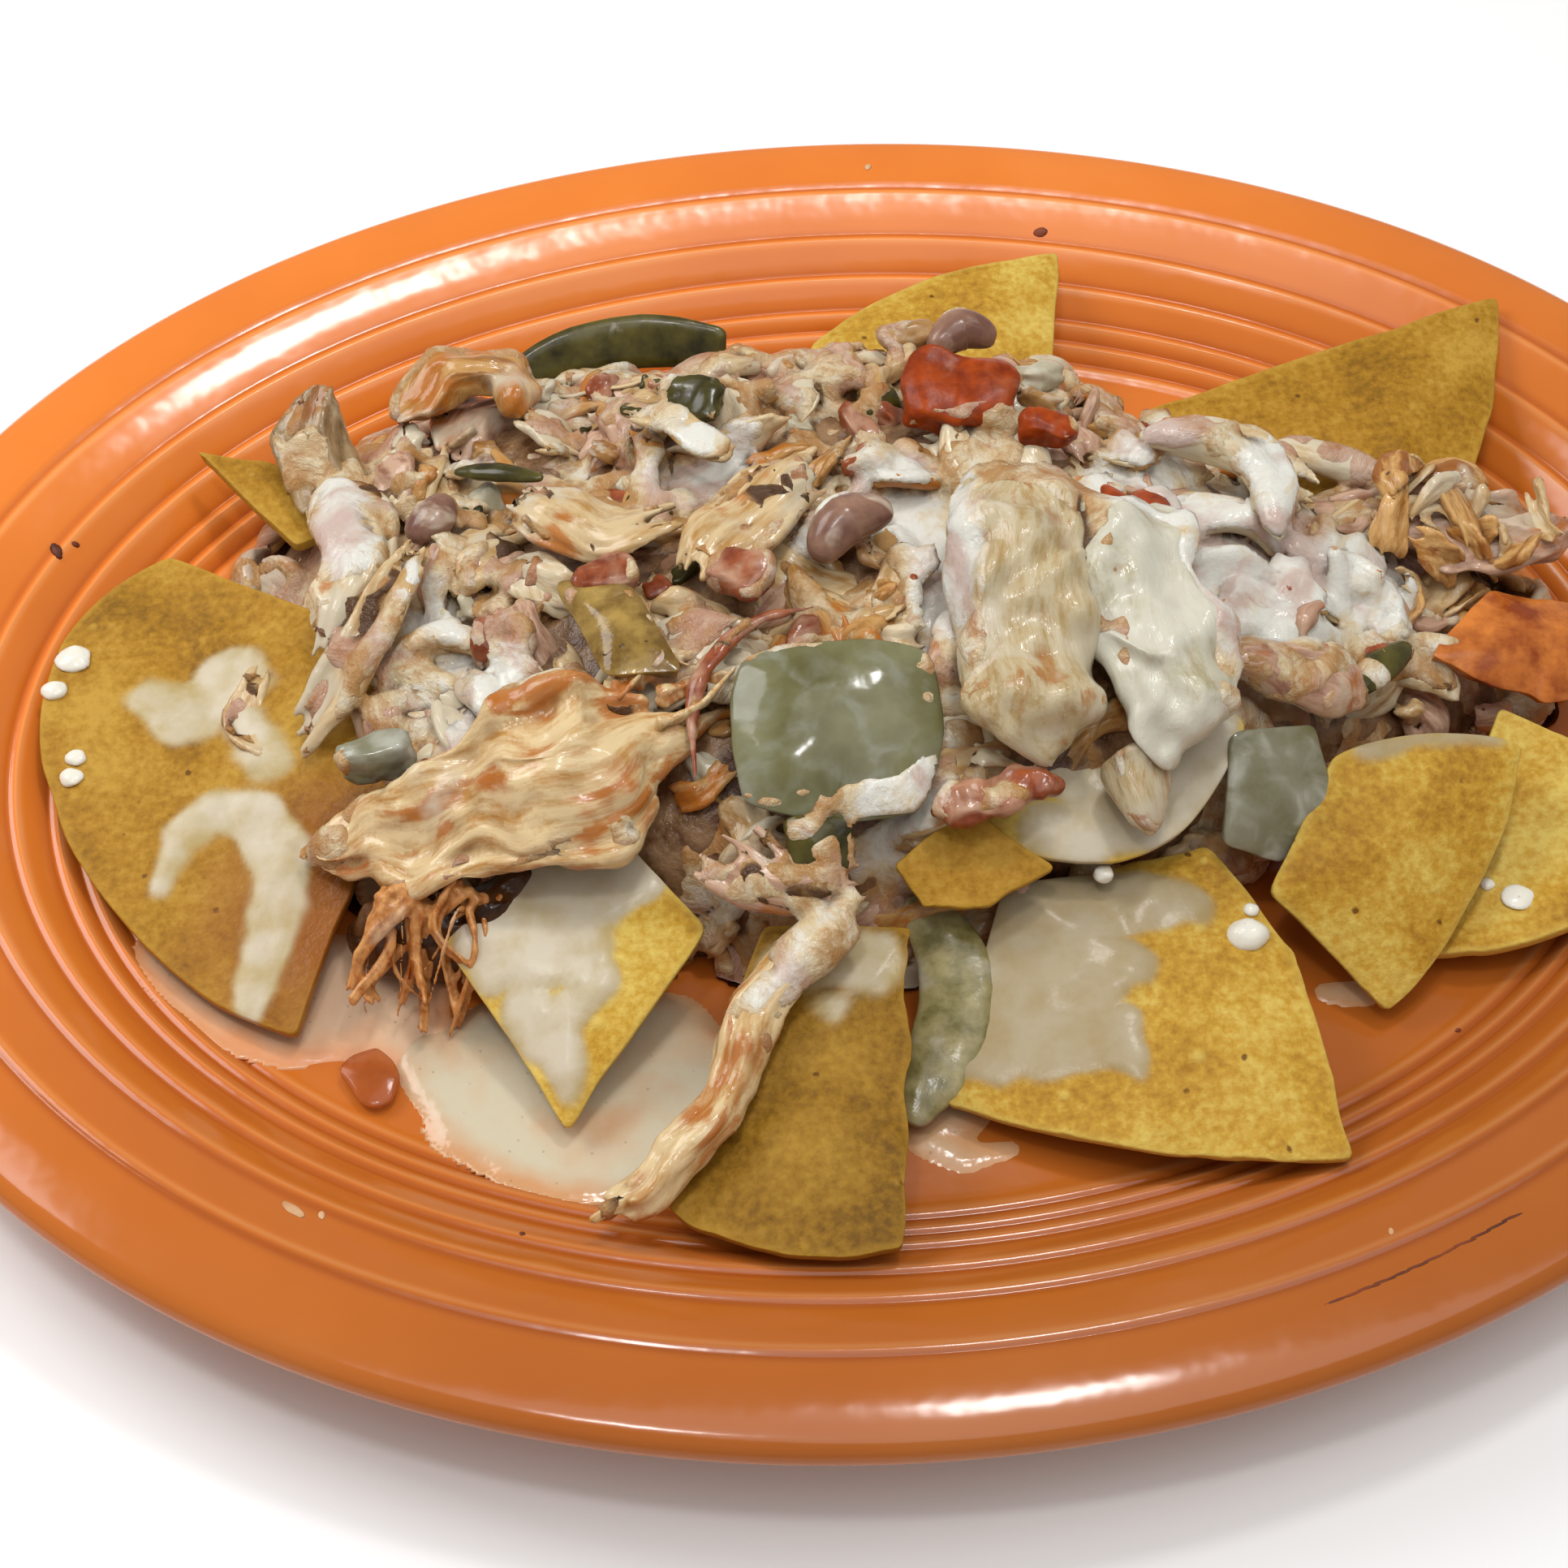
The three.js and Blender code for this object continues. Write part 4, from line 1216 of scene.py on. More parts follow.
CHIPS = [
    Chip("chip_left", [(-117, 38, 20), (-137, 6, 17.5), (-118, -38, 12.7), (-94, -56, 11), (-68, 6, 25)],
         bulge=[6, 4, 2, -1, 0], soak=(-86, -36, 22), seed=1, coat_depth=0.35, coat_cover=0.75, coats=[
             [(-118, 8, 6), (-112, 3, 7), (-104, 9, 8)], [(-104, 4, 6), (-98, -8, 6)],
             [(-116, -28, 3.4), (-113, -20, 4.6), (-107, -15, 5.6), (-100, -18, 6.4), (-96, -27, 6.4),
              (-97, -36, 6),
              (-99, -44, 5.6), (-101, -51, 5)]]),
    Chip("chip_back_left", [(-113, 60, 24), (-95, 38, 20), (-76, 50, 20)], seed=2),
    Chip("chip_back", [(49, 101, 21.5), (-1, 82, 18.5), (18, 52, 15), (43, 70, 18)],
         bulge=[5, 0, 0, 0], dome=1.5, seed=3, corn=LIGHT_CORN),
    Chip("chip_back_right", [(56, 54, 24), (88, 14, 17), (111, 32, 20), (127, 75.5, 26.5)],
         bulge=[0, 0, 2, 0], dome=2, seed=4),
    Chip("chip_front_left", [(-70, -46, 19), (-53, -76, 10.5), (-30, -50, 23), (-46, -27, 25)], dome=1.5,
         seed=5,
         corn=COATED_CORN, coat_depth=0.7, coats=[
             [(-62, -46, 8), (-50, -41, 11), (-40, -40, 7)], [(-62, -52, 6), (-50, -50, 7)],
             [(-59, -57, 5), (-54, -64, 6.5), (-52.5, -70, 5)], [(-54, -62, 6), (-46, -56, 4)]]),
    Chip("chip_front", [(-21, -50, 22), (-39, -92.5, 15), (-6, -104, 18), (1.5, -53, 22.5)],
         bulge=[0, 4.5, 0, 0], lift=[0, 1.6, 0, 0], ragged=[0, 0.7, 1.6, 0], dome=1, seed=6, corn=DARK_CORN,
         coat_depth=0.3, coat_cover=0.6, coats=[[(-18, -57, 7), (-7, -58, 8)], [(-12, -65, 5)]]),
    Chip("chip_broken_front", [(-1, -45, 29), (3, -51.5, 25.5), (13, -52.5, 26.5), (24, -48, 29),
                               (12, -38, 33)],
         ragged=[1, 1.5, 1.5, 0, 0], seed=7),
    Chip("chip_under_chicken", [(13, -41, 29.5), (57, -27, 34), (45, -5, 34), (20, -12, 34)],
         bulge=[12, 0, 0, 0], lift=[-4, 0, 0, 0], seed=8, corn=COATED_CORN,
         coat_depth=0.7, coats=[[(22, -40, 5), (31, -42, 6.5), (42, -38, 8), (50, -30, 8)], [(32, -30, 10)]]),
    Chip("chip_front_right", [(4, -77, 10.8), (61, -95.5, 18.3), (60, -60, 19), (50, -40, 20), (17, -45, 19)],
         bulge=[3, 0, 0, 0, 0], dome=2, seed=9, corn=LIGHT_CORN,
         coat_depth=0.5, coat_cover=0.9, coats=[
             [(12, -51, 9), (28, -49, 9), (44, -50, 6)], [(12, -60, 9), (26, -61, 9), (35, -60, 5)],
             [(7, -69, 6), (18, -70, 8), (30, -71, 6)], [(30, -70, 5), (33, -78, 3)]]),
    Chip("chip_right", [(71, -30, 28), (58, -50, 21.5), (74.5, -66, 9.5), (102, -30, 28)],
         bulge=[0, 0, 4, 3], dome=2, seed=10, corn=LIGHT_CORN,
         coat_depth=0.25, coat_cover=0.6, coats=[[(76, -29, 3), (88, -28, 4), (97, -28, 3.4)]]),
    Chip("chip_edge_right", [(104, -16, 20), (80, -57, 11), (108, -56, 15.5), (128, -34, 20)],
         bulge=[0, 2, 4, 0], dome=-1, seed=11, corn=LIGHT_CORN),
]


# ---- pulled chicken ---------------------------------------------------------------------------


class Lay(Enum):
    """How a bundle's strands lie: round a soft body, or side by side in one layer."""

    ROPE = "rope"
    SHEET = "sheet"


@dataclass
class Bundle:
    """A piece of pulled meat: a soft body along a path with strands fused onto it, so that its
    surface shows long fibres, folds and a torn end."""

    name: str
    path: Sequence[Point]
    width: Sequence[float]
    thickness: Sequence[float]
    finish: PulledChicken = CHICKEN
    facing: Point = (0, 0, 1)
    strands: int = 14
    core: float = 0.8
    wave: float = 0.12
    fray: float = 0.14
    taper: float = 0.45
    voxel: float = 0.6
    soften: int = 4
    relief: float = 0.2
    bumps: float = 0.6
    fullness: float = 1.3
    # how fast the noise changes along the fibres, against across them
    along: float = 0.09
    lay: Lay = Lay.ROPE
    # how far a sheet's sides curl up, in millimetres
    curl: float = 0.0
    warp: float = 1.2
    seed: int = 0

    def strand_shapes(self) -> list[Shape]:
        """The body and every strand as tubes, packed into the piece's oval section."""
        rng = np.random.default_rng(self.seed + 100)
        steps = 40
        path, across, up = path_frame(self.path, self.facing, steps)
        place = np.linspace(0, 1, steps)
        width, thickness = listed(self.width, place), listed(self.thickness, place)
        shapes = []
        if self.core > 0 and self.lay is Lay.ROPE:
            blunt = np.clip(np.minimum(place + 0.02, 1.02 - place) * 5, 0, 1) ** 0.5
            flat = float((thickness / width).mean())
            shapes.append(tube(path, width / 2 * self.core * blunt, np.array(self.facing, float), 16, flat))
        for k in range(self.strands):
            out = math.sqrt((k + 0.5) / self.strands)
            turn = GOLDEN_ANGLE * k + rng.uniform(-0.4, 0.4)
            swing = [rng.uniform(0.3, 1.4), rng.uniform(0, TURN), rng.uniform(0.3, 1.4), rng.uniform(0, TURN)]
            a, b = out * math.cos(turn), out * math.sin(turn)
            radius = np.sqrt(width * thickness / (4 * self.strands))
            if self.lay is Lay.SHEET:
                a, b = 2 * (k + 0.5) / self.strands - 1, rng.uniform(-0.3, 0.3)
                radius = width / self.strands * 0.55
            a = a + self.wave * np.sin(swing[0] * TURN * place + swing[1])
            b = b + self.wave * np.sin(swing[2] * TURN * place + swing[3])
            radius = np.minimum(radius * self.fullness * rng.uniform(0.6, 1.25), thickness * 0.48)
            line = path + across * (a * (width / 2 - radius * 0.8))[:, None]
            line = line + up * (b * (thickness / 2 - radius * 0.8) + self.curl * (a * a - 0.4))[:, None]
            start, end = rng.uniform(0, self.fray), 1 - rng.uniform(0, self.fray)
            used = (place >= start) & (place <= end)
            share = (place[used] - start) / (end - start)
            blunt = np.clip(np.minimum(share, 1 - share) * 7, 0, 1) ** 0.5
            shapes.append(tube(line[used], radius[used] * (self.taper + (1 - self.taper) * blunt),
                               np.array(self.facing, float), sides=8))
        return shapes

    def build(self) -> bpy.types.Object:
        """Lay the strands, fuse them, and give the surface its bumps and fibres."""
        obj = new_piece(self.name + "_pulled", joined(self.strand_shapes()))
        apply_modifier(obj, "REMESH", mode="VOXEL", voxel_size=self.voxel * MM)
        fibre = self.fibre_of(points_of(obj))
        points = warped(points_of(obj), 9, self.warp, self.seed + 7)
        move_points(obj, points + normals_of(obj) * (self.bumps * rough(points, 6, self.seed + 8, 2))[:,
                                                                                                      None])
        apply_modifier(obj, "SMOOTH", factor=0.5, iterations=self.soften)
        ridge = lumps(fibre, 1.0, self.seed + 5) + 0.5 * lumps(fibre, 0.5, self.seed + 6)
        move_points(obj, points_of(obj) + normals_of(obj) * (self.relief * ridge)[:, None])
        store(obj, "fibre", fibre)
        # the creases, which the finish darkens partly as painted shade
        store(obj, "hollow", hollows(obj))
        return closed(obj)

    def fibre_of(self, points: np.ndarray) -> np.ndarray:
        """Where each point lies along and across the fibres, squeezed so that noise makes streaks."""
        path, across, up = path_frame(self.path, self.facing, 60)
        nearest = np.empty(len(points), int)
        for start in range(0, len(points), 20000):
            part = points[start:start + 20000]
            nearest[start:start + 20000] = ((part[:, None] - path[None]) ** 2).sum(2).argmin(1)
        run = np.concatenate([[0], np.cumsum(np.linalg.norm(np.diff(path, axis=0), axis=1))])
        away = points - path[nearest]
        side = (away * across[nearest]).sum(1)
        rise = (away * up[nearest]).sum(1)
        across_scale = min(0.85, 4 * self.along)
        bent = 1.6 * lumps(points, 9, self.seed + 60)
        return np.stack([run[nearest] * self.along + self.seed * 7, (side + bent) * across_scale,
                         (rise + bent) * across_scale], axis=1)

    def dress(self) -> bpy.types.Object:
        """Build the piece and stew it."""
        nodes = [self.name] if self.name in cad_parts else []
        return self.finish.dress(self.build(), "chicken", *nodes)


CHICKEN_PIECES = [
    Bundle("chicken_lobe_left", [(27, 17, 49.5), (25, 2, 51.8), (24, -17, 50), (23, -38, 43)],
           [19, 25, 21, 16], [9, 12, 12, 10], LOBE_CHICKEN, strands=0, core=1.0, soften=8,
           relief=0.05, bumps=2.4, along=0.16, warp=3.4, seed=21),
    Bundle("chicken_lobe_right", [(37, 14, 48.5), (41, -5, 50.8), (44, -22, 48), (42, -38, 41)],
           [14, 22, 24, 17], [8, 10, 11, 8], GREY_CHICKEN, strands=0, core=1.0, soften=8,
           relief=0.05, bumps=2.8, along=0.16, warp=3.8, seed=22),
    Bundle("chicken_tip_right", [(37, -33, 40), (38, -40, 37), (39, -46, 33)], [12, 10, 4], [7, 7, 4],
           LOBE_CHICKEN, strands=0, core=1.0, soften=5, along=0.2, warp=1.6, seed=3),
    Bundle("chicken_long_left", [(-95, -28, 20), (-76, -31, 29), (-58, -31, 35), (-44, -29, 39),
                                 (-31, -25, 41)],
           [7, 16, 24, 29, 22], [5, 8, 10, 10, 7], STREAKED_CHICKEN, facing=(0, -0.45, 0.9), strands=12,
           core=0.84,
           voxel=0.5, relief=0.3, wave=0.25, fullness=0.9, bumps=1.6, soften=3, warp=3.0, fray=0.16,
           along=0.1,
           seed=24),
    # painted shadow: a dark piece put where there is only shade under the long chicken
    Bundle("chicken_underside_left", [(-87, -37, 12), (-78, -41, 13), (-66, -41, 15), (-52, -36, 20)],
           [8, 10, 10, 8], [12, 16, 18, 13], SHADOW_PAINTED_CHICKEN, strands=5, core=0.9, bumps=1.8, warp=2.0,
           seed=19),
    Bundle("chicken_strand_front",
           [(-7, -52, 31), (-20, -61, 28), (-26, -72, 25), (-33, -84, 22), (-41, -92, 20), (-49, -97, 18.5)],
           [9, 11, 10, 9, 11, 8], [5, 6, 6, 6, 7, 6], STREAKED_CHICKEN, strands=7, core=0.7, voxel=0.5,
           bumps=1.2, relief=0.14, warp=1.8, fullness=1.1, seed=5),
    Bundle("chicken_fold_left", [(-88, 50, 26), (-83, 28, 33), (-85, 12, 32), (-92, 0, 26)],
           [10, 16, 14, 7], [5, 7, 6, 5], COATED_CHICKEN, strands=9, lay=Lay.SHEET, curl=-3.0, fullness=1.6,
           warp=1.8,
           seed=6),
    Bundle("chicken_strip_left", [(-70, 24, 38), (-79, 10, 35), (-87, -3, 29), (-96, -10, 22)],
           [5, 9, 11, 7], [4, 5, 5, 4], strands=6, lay=Lay.SHEET, curl=1.6, fullness=1.5, warp=1.5, seed=7),
    Bundle("chicken_shred_left", [(-99, 12, 22), (-103, 2, 19), (-97, -8, 20)], [7, 9, 6], [3, 4, 3],
           strands=5, lay=Lay.SHEET, curl=1.0, seed=8),
    Bundle("chicken_loop_right", [(49, 26, 46), (60, 27, 45), (69, 20, 43), (68, 6, 42)],
           [10, 13, 13, 9], [6, 7, 7, 6], COATED_CHICKEN, strands=4, core=0.6, soften=6, taper=0.8,
           relief=0.06,
           bumps=0.8, fullness=1.1, warp=1.5, seed=9),
    Bundle("chicken_band_right", [(73, 38, 30), (87, 34, 29), (98, 27, 28)], [6, 8, 6], [4, 5, 4],
           COATED_CHICKEN, strands=3, soften=7, seed=10),
    Bundle("chicken_shreds_right", [(88, 16, 33), (101, 18, 30), (114, 16, 27), (125, 20, 25)],
           [9, 18, 18, 8], [6, 8, 8, 5], PINK_CHICKEN, strands=16, core=0.7, wave=0.35, fullness=0.9,
           fray=0.3,
           bumps=1.6, warp=2.4, seed=11),
    Bundle("chicken_piece_right", [(55, -18, 42), (66, -20, 38), (77, -22, 32)], [10, 14, 10], [6, 9, 7],
           PINK_CHICKEN, strands=5, core=0.8, wave=0.2, bumps=1.8, warp=2.2, seed=12),
    Bundle("chicken_fold_middle", [(-56, 27, 42), (-47, 19, 44), (-38, 14, 45), (-29, 15, 45)],
           [8, 13, 14, 8], [4, 6, 6, 4], strands=8, lay=Lay.SHEET, curl=-2.0, fullness=1.5, warp=2.0,
           seed=13),
    Bundle("chicken_slice_middle", [(-28, 2, 45), (-22, 11, 47), (-13, 18, 48), (-5, 22, 47)],
           [9, 14, 14, 9], [4, 6, 6, 4], strands=9, lay=Lay.SHEET, curl=-2.0, fullness=1.6, warp=1.8,
           seed=14),
    Bundle("chicken_shard_back", [(-36, 43, 43), (-28, 36, 46), (-19, 28, 46)], [6, 9, 5], [3, 3.5, 3],
           strands=5, lay=Lay.SHEET, curl=0.8, fullness=1.6, soften=5, seed=15),
    Bundle("chicken_upright_left", [(-86, 44, 26), (-91, 53, 29), (-92, 60, 33), (-90, 63, 37)],
           [16, 18, 13, 6], [6, 6, 5, 3], BROWN_CHICKEN, strands=8, lay=Lay.SHEET, curl=-2.0, fullness=1.6,
           warp=2.4,
           seed=16),
    Bundle("chicken_roll_back", [(-75, 56, 31), (-68, 64, 33), (-58, 63, 35), (-54, 53, 37)],
           [10, 14, 13, 10], [8, 9, 9, 7], SPICED_CHICKEN, strands=5, core=0.6, bumps=1.6, warp=2.4, seed=17),
    Bundle("chicken_net_front", [(-35, -43, 35), (-24, -48, 33), (-12, -50, 32), (0, -49, 32)],
           [10, 13, 11, 6], [4, 4, 4, 3], PINK_CHICKEN, facing=(0, -0.7, 0.7), strands=7, lay=Lay.SHEET,
           curl=-1.5,
           wave=0.35, fullness=1.15, fray=0.3, warp=2.0, seed=18),
]


# ---- vegetables and beans ---------------------------------------------------------------------


@dataclass
class Dice:
    """A diced vegetable: a rounded uneven block, turned about the upright and then tipped."""

    name: str
    at: Point
    size: Point
    finish: Finish
    slot: str
    turn: float = 0.0
    tip: float = 0.0
    seed: int = 0

    def build(self) -> bpy.types.Object:
        """Add a block, subdivide and round it, and make it uneven."""
        obj = primitive("cube", size=2 * MM)
        obj.name = self.name + "_cooked"
        bpy.ops.object.mode_set(mode="EDIT")
        bpy.ops.mesh.subdivide(number_cuts=13)
        bpy.ops.object.mode_set(mode="OBJECT")
        cube = points_of(obj)
        norm = np.linalg.norm(cube, axis=1, keepdims=True)
        rounded = cube / np.maximum((np.abs(cube) ** 5).sum(1, keepdims=True) ** 0.2, 1e-6)
        shaped = 0.82 * rounded + 0.18 * cube / norm
        sample = cube * 4 + self.seed * 13.0
        shaped *= (1 + 0.14 * lumps(sample, 3.5, self.seed) + 0.05 * lumps(sample, 1.2, self.seed))[:, None]
        points = shaped * np.array(self.size) / 2
        points = warped(points, 5, 1.1, self.seed + 20)
        points = turned(points, 1, 2, math.radians(self.tip))
        points = turned(points, 0, 1, math.radians(self.turn))
        move_points(obj, points + np.array(self.at))
        return closed(obj)

    def dress(self) -> bpy.types.Object:
        """Build the piece and cook it."""
        return self.finish.dress(self.build(), self.slot, self.name)


@dataclass
class Strip:
    """A strip of vegetable or a bean: one soft body along a path."""

    name: str
    path: Sequence[Point]
    width: Sequence[float]
    thickness: Sequence[float]
    finish: Finish
    slot: str
    facing: Point = (0, 0, 1)
    lumpy: float = 0.25
    blunt: float = 0.6
    boxy: float = 2.0
    seed: int = 0

    def build(self) -> bpy.types.Object:
        """Draw a ball out along the path and make it uneven."""
        obj = primitive("uv_sphere", segments=28, ring_count=40, radius=MM)
        obj.name = self.name + "_cooked"
        ball = points_of(obj)
        place = (1 - ball[:, 2]) / 2
        steps = 80
        path, across, up = path_frame(self.path, self.facing, steps)
        index = np.clip((place * (steps - 1)).round().astype(int), 0, steps - 1)
        ring = np.hypot(ball[:, 0], ball[:, 1])
        full = np.where(ring > 1e-4, ring ** self.blunt / np.maximum(ring, 1e-4), 0)
        around = np.arctan2(ball[:, 1], ball[:, 0])
        boxy = (np.abs(np.cos(around)) ** self.boxy + np.abs(np.sin(around)) ** self.boxy) ** (-1 / self.boxy)
        full = full * boxy
        even = np.linspace(0, 1, steps)
        centre = np.stack([np.interp(place, even, path[:, k]) for k in range(3)], axis=1)
        points = centre + across[index] * (ball[:, 0] * full * listed(self.width, place) / 2)[:, None]
        points += up[index] * (ball[:, 1] * full * listed(self.thickness, place) / 2)[:, None]
        move_points(obj, points)
        bulges = self.lumpy * rough(points, 4.5, self.seed)
        move_points(obj, points + normals_of(obj) * bulges[:, None])
        return closed(obj)

    def dress(self) -> bpy.types.Object:
        """Build the piece and cook it."""
        return self.finish.dress(self.build(), self.slot, self.name)


@dataclass
class Slice(Chip):
    """A flat piece of vegetable or skin, cut and bent as a chip is."""

    finish: Finish = PALE_PEPPER
    slot: str = "pepper_pale"
    curl: float = 0.5
    spacing: float = 0.8
    blister_height: float = 0.0

    def dress(self) -> bpy.types.Object:
        """Build the piece, round it and cook it."""
        obj = self.build()
        apply_modifier(obj, "SMOOTH", factor=0.5, iterations=3)
        return self.finish.dress(obj, self.slot, self.name)


VEGETABLES: list[Dice | Strip | Slice] = [
    Dice("tomato_chunk_back", (20, 38, 47), (19, 14, 8), TOMATO, "tomato", turn=-12, tip=14, seed=1),
    Dice("tomato_flesh_back", (33, 28, 48), (9, 6, 5), TOMATO, "tomato", turn=-20, seed=2),
    Strip("tomato_folded_skin", [(40, 14, 48), (44, 3, 50), (48, 11, 47), (51, 0, 47)], [4, 7, 7, 4],
          [3, 4, 3],
          TOMATO, "tomato", seed=3),
    Dice("tomato_bit_left", (-42, 5, 43), (10, 8, 6), COATED_TOMATO, "tomato", turn=20, seed=4),
    Dice("tomato_bit_middle", (-20, 1, 47), (9, 8, 5), COATED_TOMATO, "tomato", turn=-30, seed=5),
    Strip("tomato_bits_front", [(5, -41, 37), (11, -41, 38), (18, -40, 40), (25, -39, 40)], [5, 7, 4],
          [3, 4, 3],
          COATED_TOMATO, "tomato", lumpy=3.4, seed=6),
    Strip("tomato_strip_middle", [(-9, -6, 46), (-20, -9, 46), (-29, -19, 44), (-30, -34, 40)],
          [2.0, 2.8, 2.8, 2.0], [1.6, 2.0, 1.6], COATED_TOMATO, "tomato", lumpy=1.1, seed=7),
    Slice("tomato_skin_right", [(92, -11, 28), (110, -18, 22), (125, -13, 20), (126, 1, 22), (106, 3, 27)],
          dome=2.5, thickness=2.4, ragged=[1.2, 1, 1.4, 1, 0.8], finish=TOMATO_SKIN, slot="tomato_skin",
          seed=8),
    Strip("pepper_strip_back", [(-60, 72, 23), (-48, 77, 25.5), (-33, 79, 26.5), (-17, 76, 26.5)],
          [5, 9, 10, 9],
          [2.4, 3, 3], DARK_PEPPER, "pepper_dark", facing=(0, -0.75, 0.66), blunt=0.25, boxy=3.5, seed=9),
    Dice("pepper_bit_back", (-25, 44, 44), (11, 8, 4), DARK_PEPPER, "pepper_dark", turn=-15, tip=20, seed=10),
    Strip("pepper_slit_left", [(-66, 38, 37), (-58, 35, 39), (-51, 32, 40)], [3, 4, 3], [2, 2.6, 2],
          DARK_PEPPER, "pepper_dark", seed=11),
    Slice("pepper_square_middle", [(-23, -37, 38), (3, -41, 37), (7, -18, 46), (-21, -16, 45)],
          bulge=[2, 2.5, 2, 1.5], ragged=[0.6, 0.8, 0.5, 0.5], dome=3.5, curl=1.8, thickness=3.2,
          finish=VEILED_PEPPER, seed=12),
    Dice("pepper_ring_front", (-12, -44, 35), (10, 9, 4), DARK_PEPPER, "pepper_dark", tip=35, seed=13),
    Strip("pepper_strip_front", [(3, -44, 19), (8, -56, 16), (5, -69, 13), (-2, -79, 10)], [9, 12, 12, 8],
          [3, 4, 3], OLIVE_PEPPER, "pepper_dark", facing=(-0.2, -0.3, 0.93), blunt=0.4, boxy=2.6, lumpy=0.5,
          seed=14),
    Slice("pepper_pale_right", [(51, -43, 26), (61, -43, 20), (70, -36, 25), (68, -26, 32), (54, -29, 35)],
          dome=2, thickness=3, ragged=[1, 0, 0, 0, 0], seed=15),
    Strip("pepper_bit_right", [(76, -20, 32), (82, -15, 32), (88, -10, 31)], [5, 6, 5], [3, 3, 3],
          DARK_PEPPER, "pepper_dark", seed=16),
    Dice("pepper_cube_left", (-80, -17, 30), (12, 6, 6), PALE_PEPPER, "pepper_pale", turn=5, seed=17),
    Strip("bean_back", [(18, 59, 38), (24, 63, 39), (30, 61, 38)], [6, 8, 6], [6, 7, 6], BEAN, "bean",
          lumpy=0.1, seed=18),
    Strip("bean_middle", [(-8, 3, 47), (-3, 9, 49), (5, 11, 49)], [7, 9, 7], [6, 8, 6], BEAN, "bean",
          lumpy=0.1, seed=19),
    Strip("bean_left", [(-74, 25, 35), (-70, 28, 36), (-67, 32, 37)], [6, 8, 6], [5, 6, 5], BEAN, "bean",
          lumpy=0.1, seed=20),
    Slice("onion_slice_heap", [(-42, -16, 44), (-31, -17, 45), (-38, 1, 45), (-49, 5, 43)], dome=2,
          thickness=2.4, finish=OLIVE_ONION, slot="onion", seed=21),
    Slice("onion_slice_platter", [(-88, -62, 8.4), (-82, -68, 8.4), (-78, -63, 8.4), (-82, -57, 8.4)],
          bulge=[1, 1, 1, 1], dome=0.5, thickness=1.2, ragged=[0.8, 0.8, 0.8, 0.8], finish=PLATTER_ONION,
          slot="onion", seed=22),
]


# ---- the heap ---------------------------------------------------------------------------------


@dataclass
class Heap:
    """The dressed heap: a core with relief, which chunks, shreds and diced bits lie on."""

    grid: HeightMap = field(default_factory=HeightMap)
    sink: float = 3.2
    relief: float = 1.2
    floor: float = 7.2
    seed: int = 40

    def measure(self) -> None:
        """Read the heap's own outer surface, with the notches of its neighbours closed."""
        outer = self.grid.look_down([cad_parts["topping_heap"]])
        self.outer = lowest(highest(outer, 13), 13)
        self.inside = blur((self.outer > 0).astype(float), 2.0)

    def build_core(self) -> bpy.types.Object:
        """Make the core: the outer surface, sunk a little, with lumps and fibrous relief."""
        places = self.grid.places()
        shape = self.outer.shape
        relief = rough(places, 11, self.seed) * 1.2 + rough(places, 4.5, self.seed + 1) * 0.8
        heights = blur(self.outer, 2.0) - self.sink + self.relief * relief.reshape(shape)
        heights = np.maximum(heights, self.floor)
        keep = self.inside > 0.5
        cells = keep[:-1, :-1] & keep[1:, :-1] & keep[:-1, 1:] & keep[1:, 1:]
        sheet, _ = surface_mesh(self.grid, heights, cells)
        obj = new_piece("topping_heap_core", sheet)
        select_only(obj)
        bpy.ops.object.mode_set(mode="EDIT")
        bpy.ops.mesh.select_all(action="SELECT")
        bpy.ops.mesh.region_to_loop()
        bpy.ops.mesh.extrude_edges_move()
        bpy.ops.transform.resize(value=(1, 1, 0), center_override=(0, 0, self.floor * MM))
        bpy.ops.transform.translate(value=(0, 0, -0.4 * MM))
        bpy.ops.mesh.fill()
        bpy.ops.object.mode_set(mode="OBJECT")
        face_outwards(obj)
        smooth_shade(obj, 70)
        points = points_of(obj)
        top = self.grid.read(heights, points[:, 0], points[:, 1])
        wall = 1 - np.clip((self.grid.read(self.inside, points[:, 0], points[:, 1]) - 0.5) / 0.45, 0, 1)
        store(obj, "shade", np.clip(wall * 0.8 + (top - points[:, 2]) / 8, 0, 1))
        self.core_heights = np.where(keep, heights, -1)
        return obj

    def dress(self) -> bpy.types.Object:
        """Build the core and dress it."""
        self.measure()
        return DRESSED.dress(self.build_core(), "dressed", "topping_heap")

    def wall_spots(self, rng: np.random.Generator, count: int) -> list[tuple[np.ndarray, np.ndarray]]:
        """Places on the heap's steep outer side, each with the way that it faces."""
        slope_y, slope_x = np.gradient(self.inside)
        rows, columns = np.nonzero(np.abs(self.inside - 0.5) < 0.12)
        found = []
        for index in rng.integers(0, len(rows), count):
            row, column = rows[index], columns[index]
            out = np.array([-slope_x[row, column], -slope_y[row, column]])
            facing = unit(np.array([*out, rng.uniform(0.1, 0.8) * np.hypot(*out)]))
            top = self.outer[max(0, row - 1):row + 2, max(0, column - 1):column + 2].max()
            height = rng.uniform(self.floor + 1.5, max(self.floor + 2, top - 2))
            found.append((np.array([self.grid.x[column], self.grid.y[row], height]), facing))
        return found


